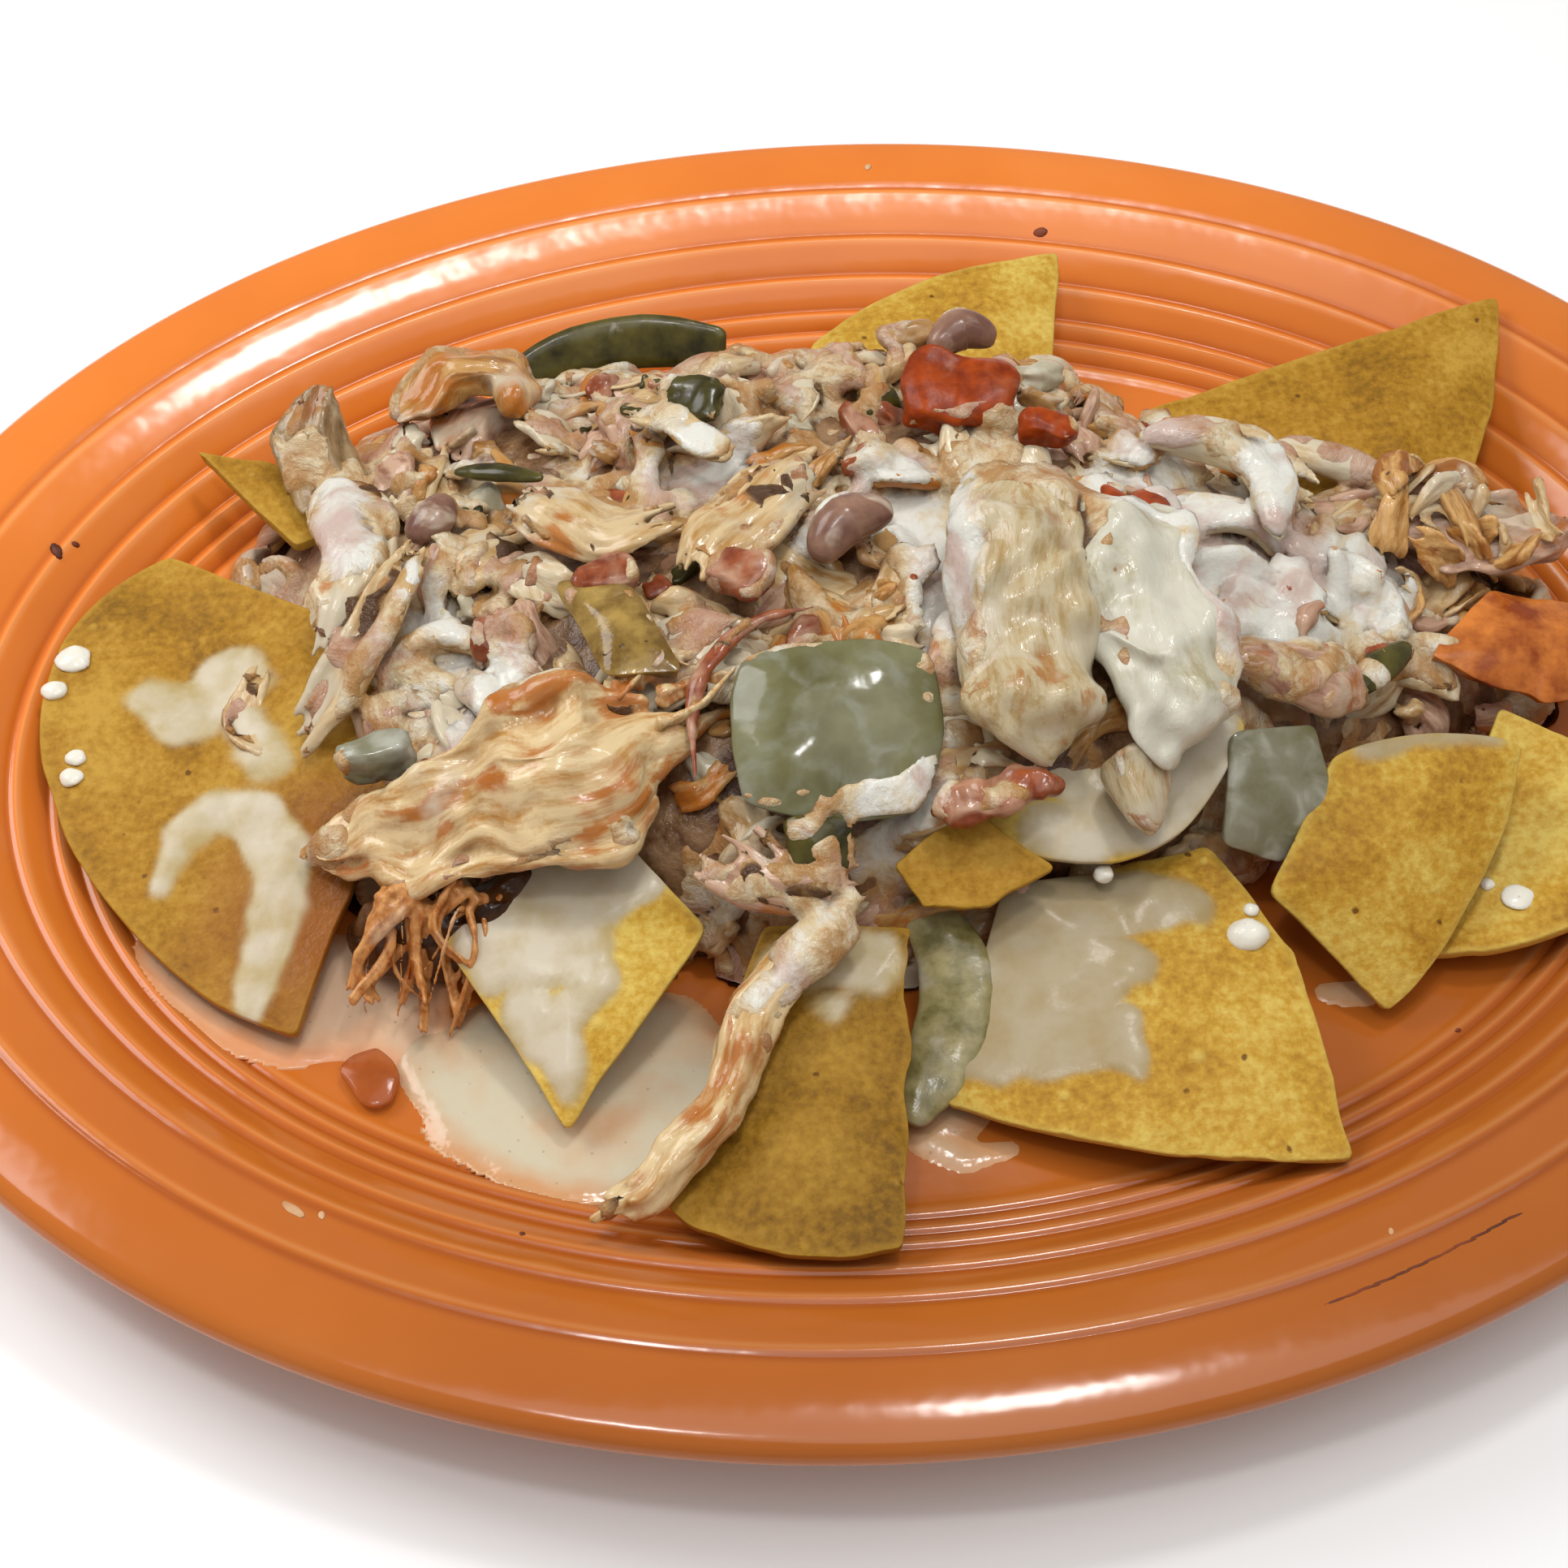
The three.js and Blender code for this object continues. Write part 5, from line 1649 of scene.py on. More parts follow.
@dataclass
class Scatter:
    """Small pieces of one kind, strewn over the heap and joined into one mesh."""

    name: str
    finish: Finish
    slot: str
    count: int
    seed: int
    region: tuple[float, float, float, float] = (-106.0, -44.0, 124.0, 74.0)

    def spots(self, rng: np.random.Generator, heap: Heap, open_to_sky: np.ndarray) -> list[tuple[float,
                                                                                                 float]]:
        """Random places on the heap where nothing large lies on top.

        Args:
            rng: picks the places.
            heap: where they lie.
            open_to_sky: 1 where small pieces may lie and 0 elsewhere, on the heap's grid.

        Returns:
            The places as x and y.
        """
        found: list[tuple[float, float]] = []
        for _ in range(self.count * 12):
            x = rng.uniform(self.region[0], self.region[2])
            y = rng.uniform(self.region[1], self.region[3])
            if len(found) < self.count and heap.grid.read(heap.inside, x, y) > 0.6 \
                    and heap.grid.read(open_to_sky, x, y) > 0.5:
                found.append((x, y))
        return found

    def build(self, heap: Heap, heights: np.ndarray, open_to_sky: np.ndarray) -> bpy.types.Object:
        """Lay the pieces over the given heights and join them.

        Args:
            heap: where they lie.
            heights: the surface that they lie on.
            open_to_sky: 1 where they may lie.

        Returns:
            The joined pieces.
        """
        raise NotImplementedError

    def dress(self, heap: Heap, heights: np.ndarray, open_to_sky: np.ndarray) -> bpy.types.Object:
        """Build the pieces over the given heights and finish them."""
        return self.finish.dress(self.build(heap, heights, open_to_sky), self.slot)


@dataclass
class LooseShreds(Scatter):
    """Torn shreds that follow the surface below them."""

    length: tuple[float, float] = (6.0, 16.0)
    radius: tuple[float, float] = (0.7, 1.6)
    steps: int = 9
    sides: int = 7

    def build(self, heap: Heap, heights: np.ndarray, open_to_sky: np.ndarray) -> bpy.types.Object:
        """Lay the shreds along the surface, leaving out those that would lie on a steep place."""
        rng = np.random.default_rng(self.seed)
        shapes, fibres = [], []
        for x, y in self.spots(rng, heap, open_to_sky):
            heading, bend = rng.uniform(0, TURN), rng.normal(0, 1.3)
            length = rng.uniform(*self.length)
            run = np.linspace(-0.5, 0.5, self.steps)
            turn = heading + bend * run
            step = length / (self.steps - 1)
            px = x + np.cumsum(np.cos(turn)) * step - length / 2 * math.cos(heading)
            py = y + np.cumsum(np.sin(turn)) * step - length / 2 * math.sin(heading)
            pz = heap.grid.read(heights, px, py)
            if np.abs(np.diff(pz)).max() > 1.6 * step or pz.min() < 12:
                continue
            pz = np.convolve(np.pad(pz, 1, mode="edge"), [0.25, 0.5, 0.25], mode="valid")
            pz = pz + rng.uniform(-0.2, 0.5)
            radius = rng.uniform(*self.radius) * (1.15 - 2.4 * run ** 2)
            radius = radius * (1 + 0.15 * rng.normal(size=self.steps))
            path = np.stack([px, py, pz], axis=1)
            shapes.append(tube(path, np.maximum(radius, 0.2), np.array([0.1, 0.1, 1.0]), self.sides, 0.55))
            along = np.append(np.repeat(run * length, self.sides), [-length / 2, length / 2])
            wobble = rng.uniform(0, 50)
            fibres.append(np.stack([along * 0.09 + wobble, np.tile([wobble], len(along)),
                                    np.arange(len(along)) % self.sides * 0.6], axis=1))
        obj = new_piece(self.name, joined(shapes))
        store(obj, "fibre", np.vstack(fibres))
        store(obj, "hollow", np.zeros(len(obj.data.vertices)))
        return closed(obj)


@dataclass
class Chunks(Scatter):
    """Torn chunks: a few fused bundles, each copied many times over the heap and its side."""

    kinds: int = 6
    size: tuple[float, float] = (15.0, 27.0)
    width: float = 11.0
    on_side: int = 0
    # how far the pieces tip away from the slope that they lie on
    tilt: float = 2.2
    # the width of one strand, how thick the pieces are, and how finely they are fused
    strand: float = 1.7
    thick: float = 1.0
    voxel: float = 0.75

    def kind_shapes(self) -> list[tuple[np.ndarray, list, np.ndarray, np.ndarray]]:
        """Model each kind of chunk once, lying along X about the origin."""
        made = []
        rng = np.random.default_rng(self.seed)
        for k in range(self.kinds):
            half = rng.uniform(*self.size) / 2
            bend, wide = rng.uniform(-4, 4), self.width * rng.uniform(0.75, 1.25)
            path = [(-half, -bend / 2, -1.2), (-half / 3, bend / 2, 0.8), (half / 3, bend / 2, 0.9),
                    (half, -bend / 2, -1.4)]
            bundle = Bundle(
                f"{self.name}_kind{k}", path, [wide * 0.6, wide, wide * 0.9, wide * 0.5],
                [self.thick * t for t in (2.4, 3.8, 3.6, 2.0)], strands=int(wide / self.strand),
                lay=Lay.SHEET, curl=rng.uniform(-2.6, 1.2), voxel=self.voxel, soften=3, relief=0.14,
                bumps=1.0,
                fray=0.3, wave=0.16, fullness=1.6, warp=2.4, along=0.12, seed=self.seed + k)
            obj = bundle.build()
            crease = hollows(obj)
            points, faces = taken(obj)
            made.append((points, faces, bundle.fibre_of(points), crease))
        return made

    def build(self, heap: Heap, heights: np.ndarray, open_to_sky: np.ndarray) -> bpy.types.Object:
        """Copy the chunks over the heap, each turned and tilted with the slope."""
        rng = np.random.default_rng(self.seed + 1)
        smooth = blur(np.maximum(heights, 8), 2.0)
        spots = []
        for x, y in self.spots(rng, heap, open_to_sky):
            slope = np.clip(heap.grid.slope(smooth, x, y), -9, 9)
            facing = unit(np.array([*slope, 6.0]) + rng.normal(0, self.tilt, 3))
            height = float(heap.grid.read(heights, x, y)) + rng.uniform(-0.8, 2.4)
            spots.append((np.array([x, y, height]), facing))
        spots += heap.wall_spots(rng, self.on_side)
        kinds = self.kind_shapes()
        shapes, fibres, creases = [], [], []
        for index, (place, up) in enumerate(spots):
            points, faces, fibre, crease = kinds[index % len(kinds)]
            axes = axes_for(up, rng.uniform(0, TURN), rng.normal(0, 0.2))
            placed = (points * rng.uniform(0.65, 1.15)) @ axes + place
            placed[:, 2] = np.maximum(placed[:, 2], 7.0)
            shapes.append((placed, faces))
            fibres.append(fibre + rng.uniform(0, 40))
            creases.append(crease)
        obj = new_piece(self.name, joined(shapes))
        store(obj, "fibre", np.vstack(fibres))
        # the creases, which the finish darkens partly as painted shade
        store(obj, "hollow", np.concatenate(creases))
        smooth_shade(obj)
        return obj


@dataclass
class Flakes(Chunks):
    """Dry curled flakes: chunks that are thinner, finer and stand up more."""

    width: float = 7.0
    tilt: float = 8.0
    strand: float = 1.0
    thick: float = 0.6
    voxel: float = 0.5


@dataclass
class Bits(Scatter):
    """Diced bits: a rounded block of a few dozen faces, copied many times."""

    size: tuple[float, float] = (2.5, 5.5)
    flat: float = 0.6
    sink: float = 0.5

    def build(self, heap: Heap, heights: np.ndarray, open_to_sky: np.ndarray) -> bpy.types.Object:
        """Strew the bits over the given heights, half sunk into them."""
        rng = np.random.default_rng(self.seed)
        block = primitive("cube", size=1 * MM)
        apply_modifier(block, "SUBSURF", levels=3, render_levels=3, subdivision_type="SIMPLE")
        points, faces = taken(block)
        points /= np.abs(points).max()
        points /= np.maximum((np.abs(points) ** 4).sum(1, keepdims=True) ** 0.25, 1e-6)
        shapes = []
        for index, (x, y) in enumerate(self.spots(rng, heap, open_to_sky)):
            size = rng.uniform(*self.size) / 2
            stretch = np.array([rng.uniform(0.8, 1.6), rng.uniform(0.7, 1.1), self.flat]) * size
            uneven = 1 + 0.35 * lumps(points * 2 + index * 7.7, 1.5, self.seed)
            up = unit(rng.normal(0, 0.5, 3) + np.array([0, 0, 1.4]))
            axes = axes_for(up, rng.uniform(0, TURN))
            height = float(heap.grid.read(heights, x, y)) + size * self.flat * (0.5 - self.sink)
            shapes.append(((points * stretch * uneven[:, None]) @ axes + np.array([x, y, height]), faces))
        obj = new_piece(self.name, joined(shapes))
        return closed(obj)


CHUNKS = [
    Chunks("chicken_chunks_cream", CHICKEN, "chicken", 56, 50, on_side=22, size=(18.0, 32.0), width=13.0),
    Chunks("chicken_chunks_coated", COATED_CHICKEN, "chicken", 46, 60, on_side=10, size=(17.0, 30.0),
           width=13.0),
    Chunks("chicken_chunks_spiced", SPICED_CHICKEN, "chicken", 46, 70, on_side=26),
    Chunks("chicken_chunks_stewed", PINK_CHICKEN, "chicken", 46, 80, on_side=26),
]
BITS = [
    Bits("tomato_bits_diced", COATED_TOMATO, "tomato", 20, 54, size=(4.0, 7.5)),
    Bits("pepper_bits_diced", DARK_PEPPER, "pepper_dark", 9, 55, size=(3.0, 5.5)),
    Bits("onion_bits_diced", ONION, "onion", 12, 56, size=(3.5, 7.0)),
    Bits("onion_bits_pale", PALE_ONION, "onion", 10, 57, size=(3.5, 7.0)),
]
FLAKES = [
    Flakes("chicken_flakes_right", DRY_CHICKEN, "chicken", 20, 90, region=(88.0, -2.0, 126.0, 30.0),
           size=(12.0, 20.0)),
    Flakes("chicken_flakes_outer", CHICKEN, "chicken", 9, 94, region=(90.0, 6.0, 126.0, 32.0),
           size=(10.0, 18.0)),
    Flakes("chicken_flakes_crown", PINK_CHICKEN, "chicken", 8, 98, region=(30.0, 30.0, 54.0, 48.0),
           size=(10.0, 16.0), width=6.0, tilt=5.0),
]
LOOSE_SHREDS = [
    LooseShreds("chicken_shreds_cream", CHICKEN, "chicken", 12, 51, length=(12.0, 24.0)),
    LooseShreds("chicken_shreds_spiced", SPICED_CHICKEN, "chicken", 14, 52, region=(-100.0, 10.0, 40.0, 74.0),
                length=(10.0, 22.0)),
    LooseShreds("chicken_shreds_stewed", PINK_CHICKEN, "chicken", 10, 53, region=(50.0, -30.0, 124.0, 40.0)),
]


@dataclass
class Shreds:
    """Thin torn shreds, each of a few twisted strands, drawn from one box of places to another."""

    name: str
    finish: PulledChicken
    # the corners of the box that the shreds start in, and of the box that they end in
    start: tuple[Point, Point]
    end: tuple[Point, Point]
    count: int = 14
    radius: float = 0.8
    strands: int = 2
    bow: float = 1.2
    steps: int = 14
    seed: int = 70

    def build(self) -> bpy.types.Object:
        """Lay the twisted strands of each shred and fuse them."""
        rng = np.random.default_rng(self.seed)
        shapes = []
        for _ in range(self.count):
            share = rng.uniform(0, 1, 3)
            first = self.inside(self.start, share)
            last = self.inside(self.end, np.clip(share + rng.normal(0, 0.2, 3), 0, 1))
            bow = rng.normal(0, self.bow, 3)
            for _ in range(self.strands):
                offset = rng.normal(0, 0.5, 3)
                middle = (first + last) / 2 + bow + offset
                path = spline([tuple(first + offset * 1.2), tuple(middle), tuple(last + offset)], self.steps)
                radius = self.radius * rng.uniform(0.55, 1.1) * (1.1 - 0.6 * np.linspace(0, 1, self.steps))
                radius = radius * (1 + 0.2 * rng.normal(size=self.steps))
                shapes.append(tube(path, np.maximum(radius, 0.28), np.array([0.9, 0.3, 0.1]), sides=7,
                                   flat=0.7))
        obj = new_piece(self.name, joined(shapes))
        apply_modifier(obj, "REMESH", mode="VOXEL", voxel_size=0.36 * MM)
        apply_modifier(obj, "SMOOTH", factor=0.5, iterations=1)
        points = points_of(obj)
        store(obj, "fibre", points * np.array([0.5, 0.5, 0.14]))
        store(obj, "hollow", hollows(obj, 5))
        return closed(obj)

    def inside(self, box: tuple[Point, Point], share: np.ndarray) -> np.ndarray:
        """The place at the given shares of a box's sides."""
        return np.array(box[0]) + (np.array(box[1]) - np.array(box[0])) * share

    def dress(self) -> bpy.types.Object:
        """Build the shreds and stew them."""
        return self.finish.dress(self.build(), "chicken")


SHREDS = [
    Shreds("chicken_shreds_hanging", HANGING_CHICKEN, ((-80, -42, 22), (-60, -40, 27)),
           ((-85, -56, 8), (-62, -49, 20)),
           count=12, radius=1.1, bow=3.0, strands=3, seed=70),
    Shreds("chicken_shreds_thin", HANGING_CHICKEN, ((-82, -42, 20), (-60, -40, 26)),
           ((-86, -55, 8), (-58, -48, 20)),
           count=9, radius=0.7, bow=3.2, strands=1, seed=75),
    Shreds("chicken_shreds_fringe", STREAKED_CHICKEN, ((-44, -26, 42), (-34, -14, 43)),
           ((-36, -20, 41), (-22, -10, 44)),
           count=9, radius=1.2, bow=1.6, seed=74),
]


@dataclass
class Crumbs:
    """Small stray specks, such as fried crumbs and spots of dried sauce."""

    name: str
    finish: CookedVegetable
    slot: str
    # x, y, length, width and height of each speck
    specks: Sequence[tuple[float, float, float, float, float]]
    # the way that they all point, in radians, or random where it is None
    heading: float | None = None
    seed: int = 60

    def build(self, grid: HeightMap, pieces: Sequence[bpy.types.Object]) -> bpy.types.Object:
        """Set an uneven grain for each speck on what lies below it."""
        rng = np.random.default_rng(self.seed)
        points, faces = taken(primitive("ico_sphere", subdivisions=3, radius=MM))
        ground = grid.look_down(pieces)
        shapes = []
        for index, (x, y, length, width, height) in enumerate(self.specks):
            uneven = 1 + 0.3 * rough(points * 2 + index * 9.0, 1.1, self.seed)
            shaped = points * uneven[:, None] * np.array([length, width, height]) / 2
            turn = rng.uniform(0, TURN) if self.heading is None else self.heading + rng.normal(0, 0.06)
            spun = turned(shaped, 0, 1, turn)
            spun[:, 2] += grid.read(ground, spun[:, 0] + x, spun[:, 1] + y) + height * 0.15
            shapes.append((spun + np.array([x, y, 0.0]), faces))
        obj = new_piece(self.name, joined(shapes))
        return closed(obj)

    def dress(self, grid: HeightMap, pieces: Sequence[bpy.types.Object]) -> bpy.types.Object:
        """Build the specks and finish them."""
        return self.finish.dress(self.build(grid, pieces), self.slot)


CRUMBS = [
    Crumbs("fried_crumbs", CRUMB, "chip", [
        (-137, 42, 3.4, 1.8, 1.0), (-134, 44, 1.2, 0.9, 0.6), (86, -69, 1.0, 0.7, 0.5),
        (47, 109, 2.6, 1.6, 0.6),
        (-60, -95, 0.9, 0.8, 0.4), (104, 62, 1.2, 0.9, 0.5)]),
    Crumbs("dried_sauce_smear", SMEAR, "queso", [
        (-92, -91, 4.5, 1.6, 0.3), (-88, -92, 1.6, 0.9, 0.3), (15, 127, 1.6, 1.2, 0.4),
        (62, -110, 1.4, 0.7, 0.3)],
           seed=61),
    Crumbs("dried_sauce_line", CRUMB, "chip", [
        (39 + 40 * t, -123.5 + 9 * t + 4.5 * t * t, 3.4, 0.4, 0.16) for t in np.linspace(0, 1, 17)],
           heading=0.31, seed=62),
]


# ---- sauce ------------------------------------------------------------------------------------


@dataclass
class HeapSauce:
    """The sauce that coats the heap: one skin fused over its pieces, which stands proud of them
    where the sauce clings and sinks below them where they stay bare."""

    voxel: float = 0.85
    triangles: int = 190000
    soften: int = 2
    proud: float = 0.4
    sunk: float = 1.5
    amount: float = 0.05
    # creases across the skin: their width on the noise and their depth
    fold_width: float = 0.16
    fold_depth: float = 1.1
    # where the sauce lies thick and white, and where the food stays bare, as strokes
    thick: Strokes = (
        [(8, 24, 6), (12, 6, 6), (13, -10, 5)], [(-6, 12, 5), (2, 18, 6)],
        [(45, 4, 8), (56, 8, 12), (66, -4, 12)],
        [(66, -4, 9), (84, 4, 11), (92, 8, 8)], [(42, 18, 6), (50, 24, 6)], [(49, -6, 4), (52, -22, 4)],
        [(-66, -14, 5), (-58, -6, 4)], [(-50, -12, 4)], [(-30, 30, 5), (-18, 36, 4)],
        [(-62, 44, 5)], [(-87, 42, 4), (-84, 22, 5)], [(-72, 14, 4), (-66, 2, 4)], [(-90, 0, 3)],
        [(72, 4, 6), (70, 20, 6)], [(60, -34, 3)],
        [(-12, -55, 1.5), (-22, -66, 2)], [(-4, -40, 3), (5, -37, 4)], [(-49, -98, 3)])
    bare: Strokes = (
        [(-76, -30, 8), (-58, -30, 11), (-40, -27, 11)], [(-100, -12, 8), (-92, -2, 6)],
        [(106, 14, 12), (118, 18, 12)],
        [(-68, 58, 7), (-58, 58, 6)], [(24, 2, 5), (24, -16, 7), (23, -34, 7)],
        [(43, -2, 5), (45, -20, 6), (42, -38, 6)], [(-30, -76, 6), (-43, -93, 6)],
        [(-17, -27, 10), (-7, -27, 10), (-2, -30, 7)], [(14, 40, 6), (26, 39, 5)], [(33, 28, 3)],
        [(-43, 5, 3.5)], [(-20, 1, 3)],
        [(-6, 6, 3.5), (3, 11, 3)], [(-70, 28, 3)], [(19, 60, 4), (29, 62, 4)], [(-37, -12, 3), (-43, -2, 3)],
        [(-25, 44, 4)], [(-62, 36, 2), (-54, 33, 2)], [(10, -41, 1.5)], [(-80, -17, 4)],
        [(-9, -6, 1), (-20, -9, 1.6), (-29, -19, 1.6), (-30, -34, 2)], [(41, 12, 2), (48, 6, 3)],
        [(-56, 22, 4), (-40, 15, 5)], [(-24, 10, 4), (-12, 18, 4)])
    seed: int = 90

    def build(self, pieces: Sequence[bpy.types.Object]) -> bpy.types.Object:
        """Fuse copies of the pieces into one skin and shape it.

        Args:
            pieces: all that the sauce clings to.

        Returns:
            The sauce as one closed skin.
        """
        copies = []
        for piece in pieces:
            copy = bpy.data.objects.new("queso_over_heap", piece.data.copy())
            bpy.context.scene.collection.objects.link(copy)
            copies.append(copy)
        select_only(copies[0])
        for copy in copies:
            copy.select_set(True)
        bpy.ops.object.join()
        obj = bpy.context.active_object
        obj.name = "queso_over_heap"
        apply_modifier(obj, "REMESH", mode="VOXEL", voxel_size=self.voxel * MM)
        keep_largest(obj)
        crease = hollows(obj, 6)
        apply_modifier(obj, "SMOOTH", factor=0.5, iterations=self.soften)
        points, facing = points_of(obj), normals_of(obj)
        fold = np.exp(-(lumps(warped(points, 7, 3.0, self.seed + 3), 5.5,
                              self.seed + 2) / self.fold_width) ** 2)
        fold *= np.clip(0.5 + 1.2 * lumps(points, 12, self.seed + 4), 0, 1)
        patches = 0.75 * rough(points, 15, self.seed, 3) + 0.55 * rough(points, 4.5, self.seed + 1, 2)
        thick = np.clip(inside_strokes(points, self.thick) / 5 + 0.4, 0, 1) * np.clip(facing[:, 2] * 2, 0, 1)
        bare = np.clip(inside_strokes(points, self.bare) / 3 + 0.5, 0, 1)
        level = patches + self.amount + 0.3 * facing[:, 2] + 0.8 * thick - 1.6 * bare - 0.5 * np.clip(crease,
                                                                                                      0, 1)
        share = eased(np.clip(0.5 + 1.4 * level, 0, 1))
        fold *= 1 - 0.8 * thick
        raised = share * (self.proud + self.sunk) - self.sunk - self.fold_depth * fold
        move_points(obj, points + facing * raised[:, None])
        # the folds join the creases, which the coat's finish darkens as painted shade
        crease = crease + 0.8 * fold
        store(obj, "depth", np.clip(0.25 * share + 0.75 * thick + 0.25 * patches, 0, 1))
        store(obj, "hollow", crease)
        faces = len(obj.data.polygons) * 2
        apply_modifier(obj, "DECIMATE", ratio=min(1.0, self.triangles / faces))
        smooth_shade(obj)
        return obj

    def dress(self, pieces: Sequence[bpy.types.Object]) -> bpy.types.Object:
        """Build the sauce and finish it."""
        return COAT.dress(self.build(pieces), "queso")


@dataclass
class PlatterSauce:
    """A thin pool of sauce on the platter, with a wavy rounded edge."""

    name: str
    node: str
    strokes: Strokes
    depth: float = 1.0
    share: float = 1.0
    step: float = 0.7
    finish: Queso = POOL_QUESO
    seed: int = 95

    def build(self, platter: bpy.types.Object) -> bpy.types.Object:
        """Pour the pool over the platter's well and lowest rings."""
        blobs = np.array([blob for stroke in self.strokes for blob in stroke], float)
        low = (blobs[:, :2] - blobs[:, 2:] - 4).min(0)
        high = (blobs[:, :2] + blobs[:, 2:] + 4).max(0)
        grid = HeightMap(tuple(low), tuple(high), self.step)
        ground = grid.look_down([platter])
        places = grid.places()
        wavy = 1.4 * lumps(places, 11, self.seed) + 0.6 * lumps(places, 5, self.seed + 1)
        best = inside_strokes(places, self.strokes) + wavy
        best = blur(best.reshape(ground.shape), 1.5 / self.step)
        inside = np.clip(best / 3.5, 0, 1)
        inside = inside * (2 - inside)
        surface = blur(ground, 3.0 / self.step) + self.depth * inside - 0.25
        surface = np.maximum(surface, ground - 0.25 + 0.4 * np.clip(inside * 5, 0, 1))
        wet = best > -0.3
        keep = wet[:-1, :-1] | wet[1:, :-1] | wet[:-1, 1:] | wet[1:, 1:]
        sheet, used = surface_mesh(grid, surface, keep)
        obj = new_piece(self.name, sheet)
        uneven = 1 + 0.3 * rough(places, 14, self.seed + 2)
        store(obj, "depth", (np.clip(best.ravel() / 5.0, 0, 1) * self.share * uneven)[used])
        apply_modifier(obj, "SOLIDIFY", thickness=0.5 * MM, offset=-1.0)
        return closed(obj)

    def dress(self, platter: bpy.types.Object) -> bpy.types.Object:
        """Build the pool and finish it."""
        return self.finish.dress(self.build(platter), "queso", *([self.node] if self.node else []))


POOLS = [
    PlatterSauce("queso_pooled_left", "queso_pool_left", [
        [(-117, -36, 4), (-110, -43, 6), (-102, -50, 6), (-94, -53, 6), (-84, -53, 6), (-74, -56, 6)],
        [(-100, -40, 9), (-80, -46, 10)]], depth=0.8, share=0.9, finish=THIN_POOL, seed=95),
    PlatterSauce("queso_pooled_front", "queso_pool_front", [
        [(-74, -60, 6), (-68, -68, 7), (-60, -76, 7), (-50, -80, 7), (-43, -80, 7), (-36, -72, 8),
         (-28, -66, 8)],
        [(-60, -62, 14), (-40, -62, 12)]], depth=1.2, share=0.9, seed=96),
    PlatterSauce("queso_pooled_right", "queso_pool_right", [
        [(0, -80, 3.4), (6, -84, 3), (14, -83, 2)], [(6, -74, 7), (10, -62, 8)]], depth=1.0, share=0.9,
        seed=97),
    PlatterSauce("queso_pooled_chip", "", [[(67, -60, 2), (73, -61, 2.4)]], depth=0.9, share=1.0, seed=98),
]


@dataclass
class SauceDrops:
    """Thick white drops of queso, each a slumped dome."""

    # x, y, radius and height of each drop
    drops: Sequence[tuple[float, float, float, float]] = (
        (-132, 17, 3.0, 1.3), (-135, 11, 2.2, 1.1), (-130.5, -3, 1.8, 0.8), (-131, -6.5, 2.0, 0.9),
        (54.5, -52.5, 1.3, 0.8), (53.3, -57, 3.2, 2.2), (32, -46.5, 1.7, 1.2), (99, -50, 2.6, 0.8),
        (95, -47, 1.2, 0.7))

    def build(self, grid: HeightMap, pieces: Sequence[bpy.types.Object]) -> bpy.types.Object:
        """Set each drop on what lies below it."""
        ground = grid.look_down(pieces)
        points, faces = taken(primitive("uv_sphere", segments=20, ring_count=12, radius=MM))
        shapes = []
        for index, (x, y, radius, height) in enumerate(self.drops):
            shaped = points * np.array([radius, radius * 0.9, height])
            shaped *= (1 + 0.15 * lumps(points * 3 + index * 5.0, 2.0, index))[:, None]
            base = float(grid.read(ground, x, y))
            shapes.append((shaped + np.array([x, y, base + 0.1]), faces))
        obj = new_piece("queso_sauce_drops", joined(shapes))
        store(obj, "depth", np.ones(len(obj.data.vertices)))
        return closed(obj)

    def dress(self, grid: HeightMap, pieces: Sequence[bpy.types.Object]) -> bpy.types.Object:
        """Build the drops and finish them."""
        return DROP_QUESO.dress(self.build(grid, pieces), "queso")


# ---- the studio -------------------------------------------------------------------------------


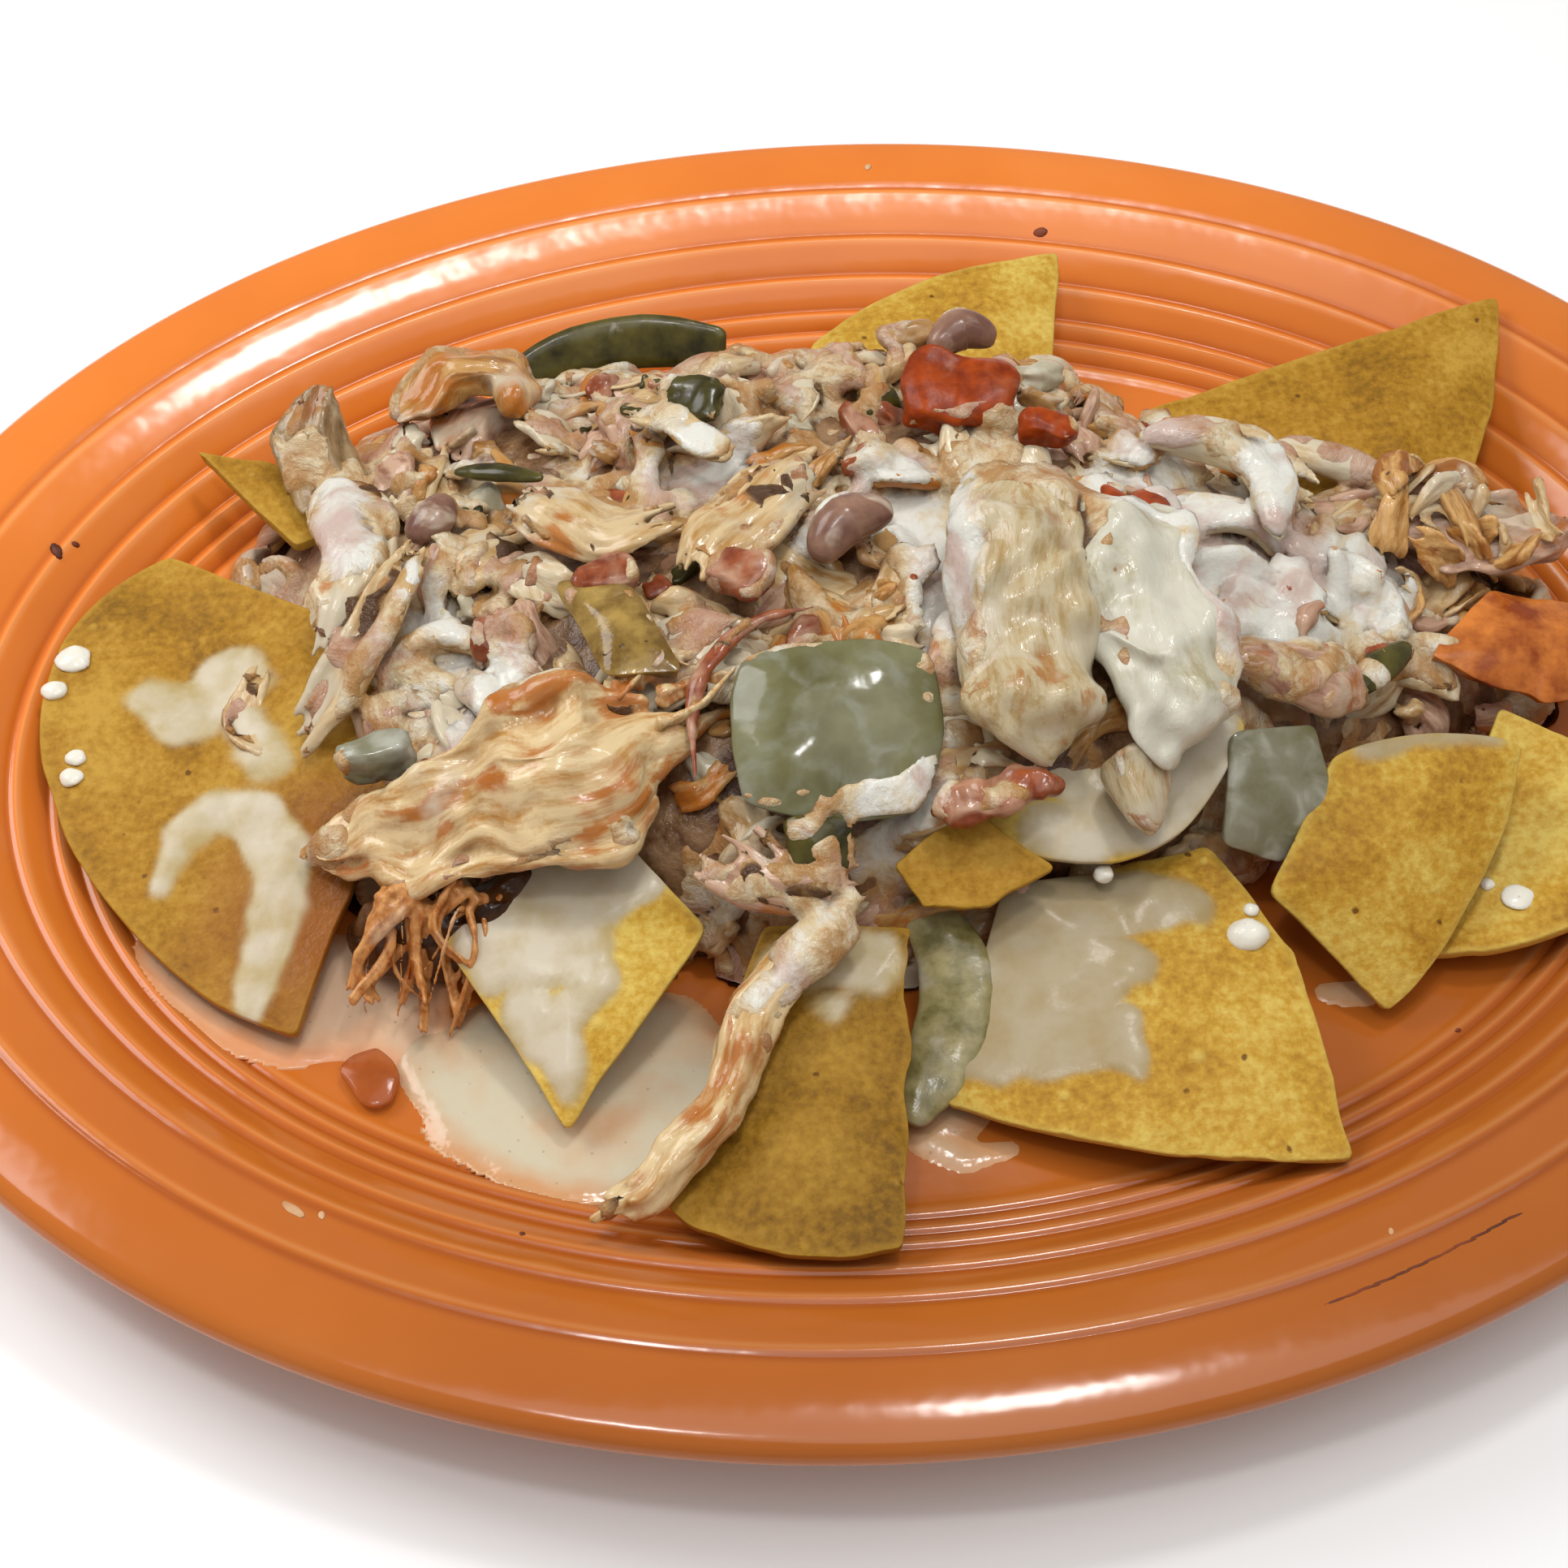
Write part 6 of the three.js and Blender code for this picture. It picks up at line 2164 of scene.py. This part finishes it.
@dataclass
class Studio:
    """A pale floor, soft light from above and behind, and the camera."""

    camera_at: Point = (-37.6, -261.2, 334.8)
    look_at: Point = (-13.9, -5.4, 0.0)
    lens: float = 56.3
    world_strength: float = 0.37
    floor_size: float = 6000.0
    # place, aim, size and watts of the key, a small highlight, the fill and the glare on the rings
    lights: Sequence[tuple[Point, Point, float, float]] = (
        ((100, -110, 790), (0, 0, 0), 650, 2.3),
        ((-140, -160, 820), (0, 0, 20), 70, 0.75),
        ((-430, 220, 480), (-20, 20, 15), 300, 1.85),
        ((110, 155, 700), (-60, 80, 15), 80, 1.0),
    )

    def aim(self, obj: bpy.types.Object, place: Point, target: Point) -> None:
        """Put an object at place, looking at target."""
        obj.location = Vector(place) * MM
        direction = Vector(target) - Vector(place)
        obj.rotation_mode = "QUATERNION"
        obj.rotation_quaternion = direction.to_track_quat("-Z", "Y")

    def build(self) -> None:
        """Make the floor, the world, the lights and the camera."""
        floor = primitive("plane", size=self.floor_size * MM)
        floor.name = "studio_floor"
        floor.data.materials.append(PlainFloor("matt_white_floor").material())
        world = bpy.data.worlds.new("studio_world")
        world.use_nodes = True
        background = world.node_tree.nodes["Background"]
        background.inputs["Color"].default_value = (1.0, 0.985, 0.96, 1.0)
        background.inputs["Strength"].default_value = self.world_strength
        bpy.context.scene.world = world
        for index, (place, target, size, watts) in enumerate(self.lights):
            lamp = bpy.data.lights.new(f"softbox_{index}", "AREA")
            lamp.shape = "SQUARE"
            lamp.size = size * MM
            lamp.energy = watts
            obj = bpy.data.objects.new(lamp.name, lamp)
            bpy.context.scene.collection.objects.link(obj)
            self.aim(obj, place, target)
        camera = bpy.data.cameras.new("camera")
        camera.lens = self.lens
        camera.sensor_width = 36.0
        camera.clip_start = 0.01
        camera.clip_end = 20.0
        obj = bpy.data.objects.new("camera", camera)
        bpy.context.scene.collection.objects.link(obj)
        self.aim(obj, self.camera_at, self.look_at)
        bpy.context.scene.camera = obj
        bpy.context.scene.view_settings.view_transform = "Standard"


# ---- the whole --------------------------------------------------------------------------------

# pieces that lie beside or under the heap, which its sauce doesn't coat
DRY_PIECES = (
    "chicken_underside_left", "pepper_strip_back", "pepper_strip_front", "pepper_pale_right",
    "tomato_skin_right",
    "onion_slice_platter")


def main() -> None:
    """Build every piece in order and set up the studio."""
    logging.basicConfig(level=logging.INFO, format="%(name)s: %(message)s")
    Studio().build()
    platter = Platter().dress()
    for pool in POOLS:
        pool.dress(platter)
    pieces = [chip.dress() for chip in CHIPS]
    chicken = [piece.dress() for piece in CHICKEN_PIECES]
    vegetables = [piece.dress() for piece in VEGETABLES]
    pieces += chicken + vegetables
    heap = Heap()
    core = heap.dress()
    core_heights = heap.grid.look_down([core])
    large = heap.grid.look_down(pieces)
    clear = blur((large < core_heights + 1.0).astype(float), 1.0)
    loose = [chunks.dress(heap, core_heights, clear) for chunks in CHUNKS]
    covered = heap.grid.look_down([core, *loose])
    loose += [bits.dress(heap, covered, clear) for bits in BITS]
    pieces += [shreds.dress() for shreds in SHREDS]
    topped = heap.grid.look_down([core, *chicken])
    pieces += [flakes.dress(heap, topped, np.ones_like(clear)) for flakes in FLAKES]
    dipped = [piece for piece in chicken + vegetables if not piece.name.startswith(DRY_PIECES)]
    sauce = HeapSauce().dress([core, *loose, *dipped])
    coated = heap.grid.look_down([sauce])
    pieces += [shreds.dress(heap, coated, clear) for shreds in LOOSE_SHREDS]
    pieces += [platter, core, *loose, sauce]
    SauceDrops().dress(heap.grid, pieces)
    rim_grid = HeightMap((-150.0, -120.0), (150.0, 132.0))
    for crumbs in CRUMBS:
        crumbs.dress(rim_grid, [platter])


if __name__ == "__main__":
    main()
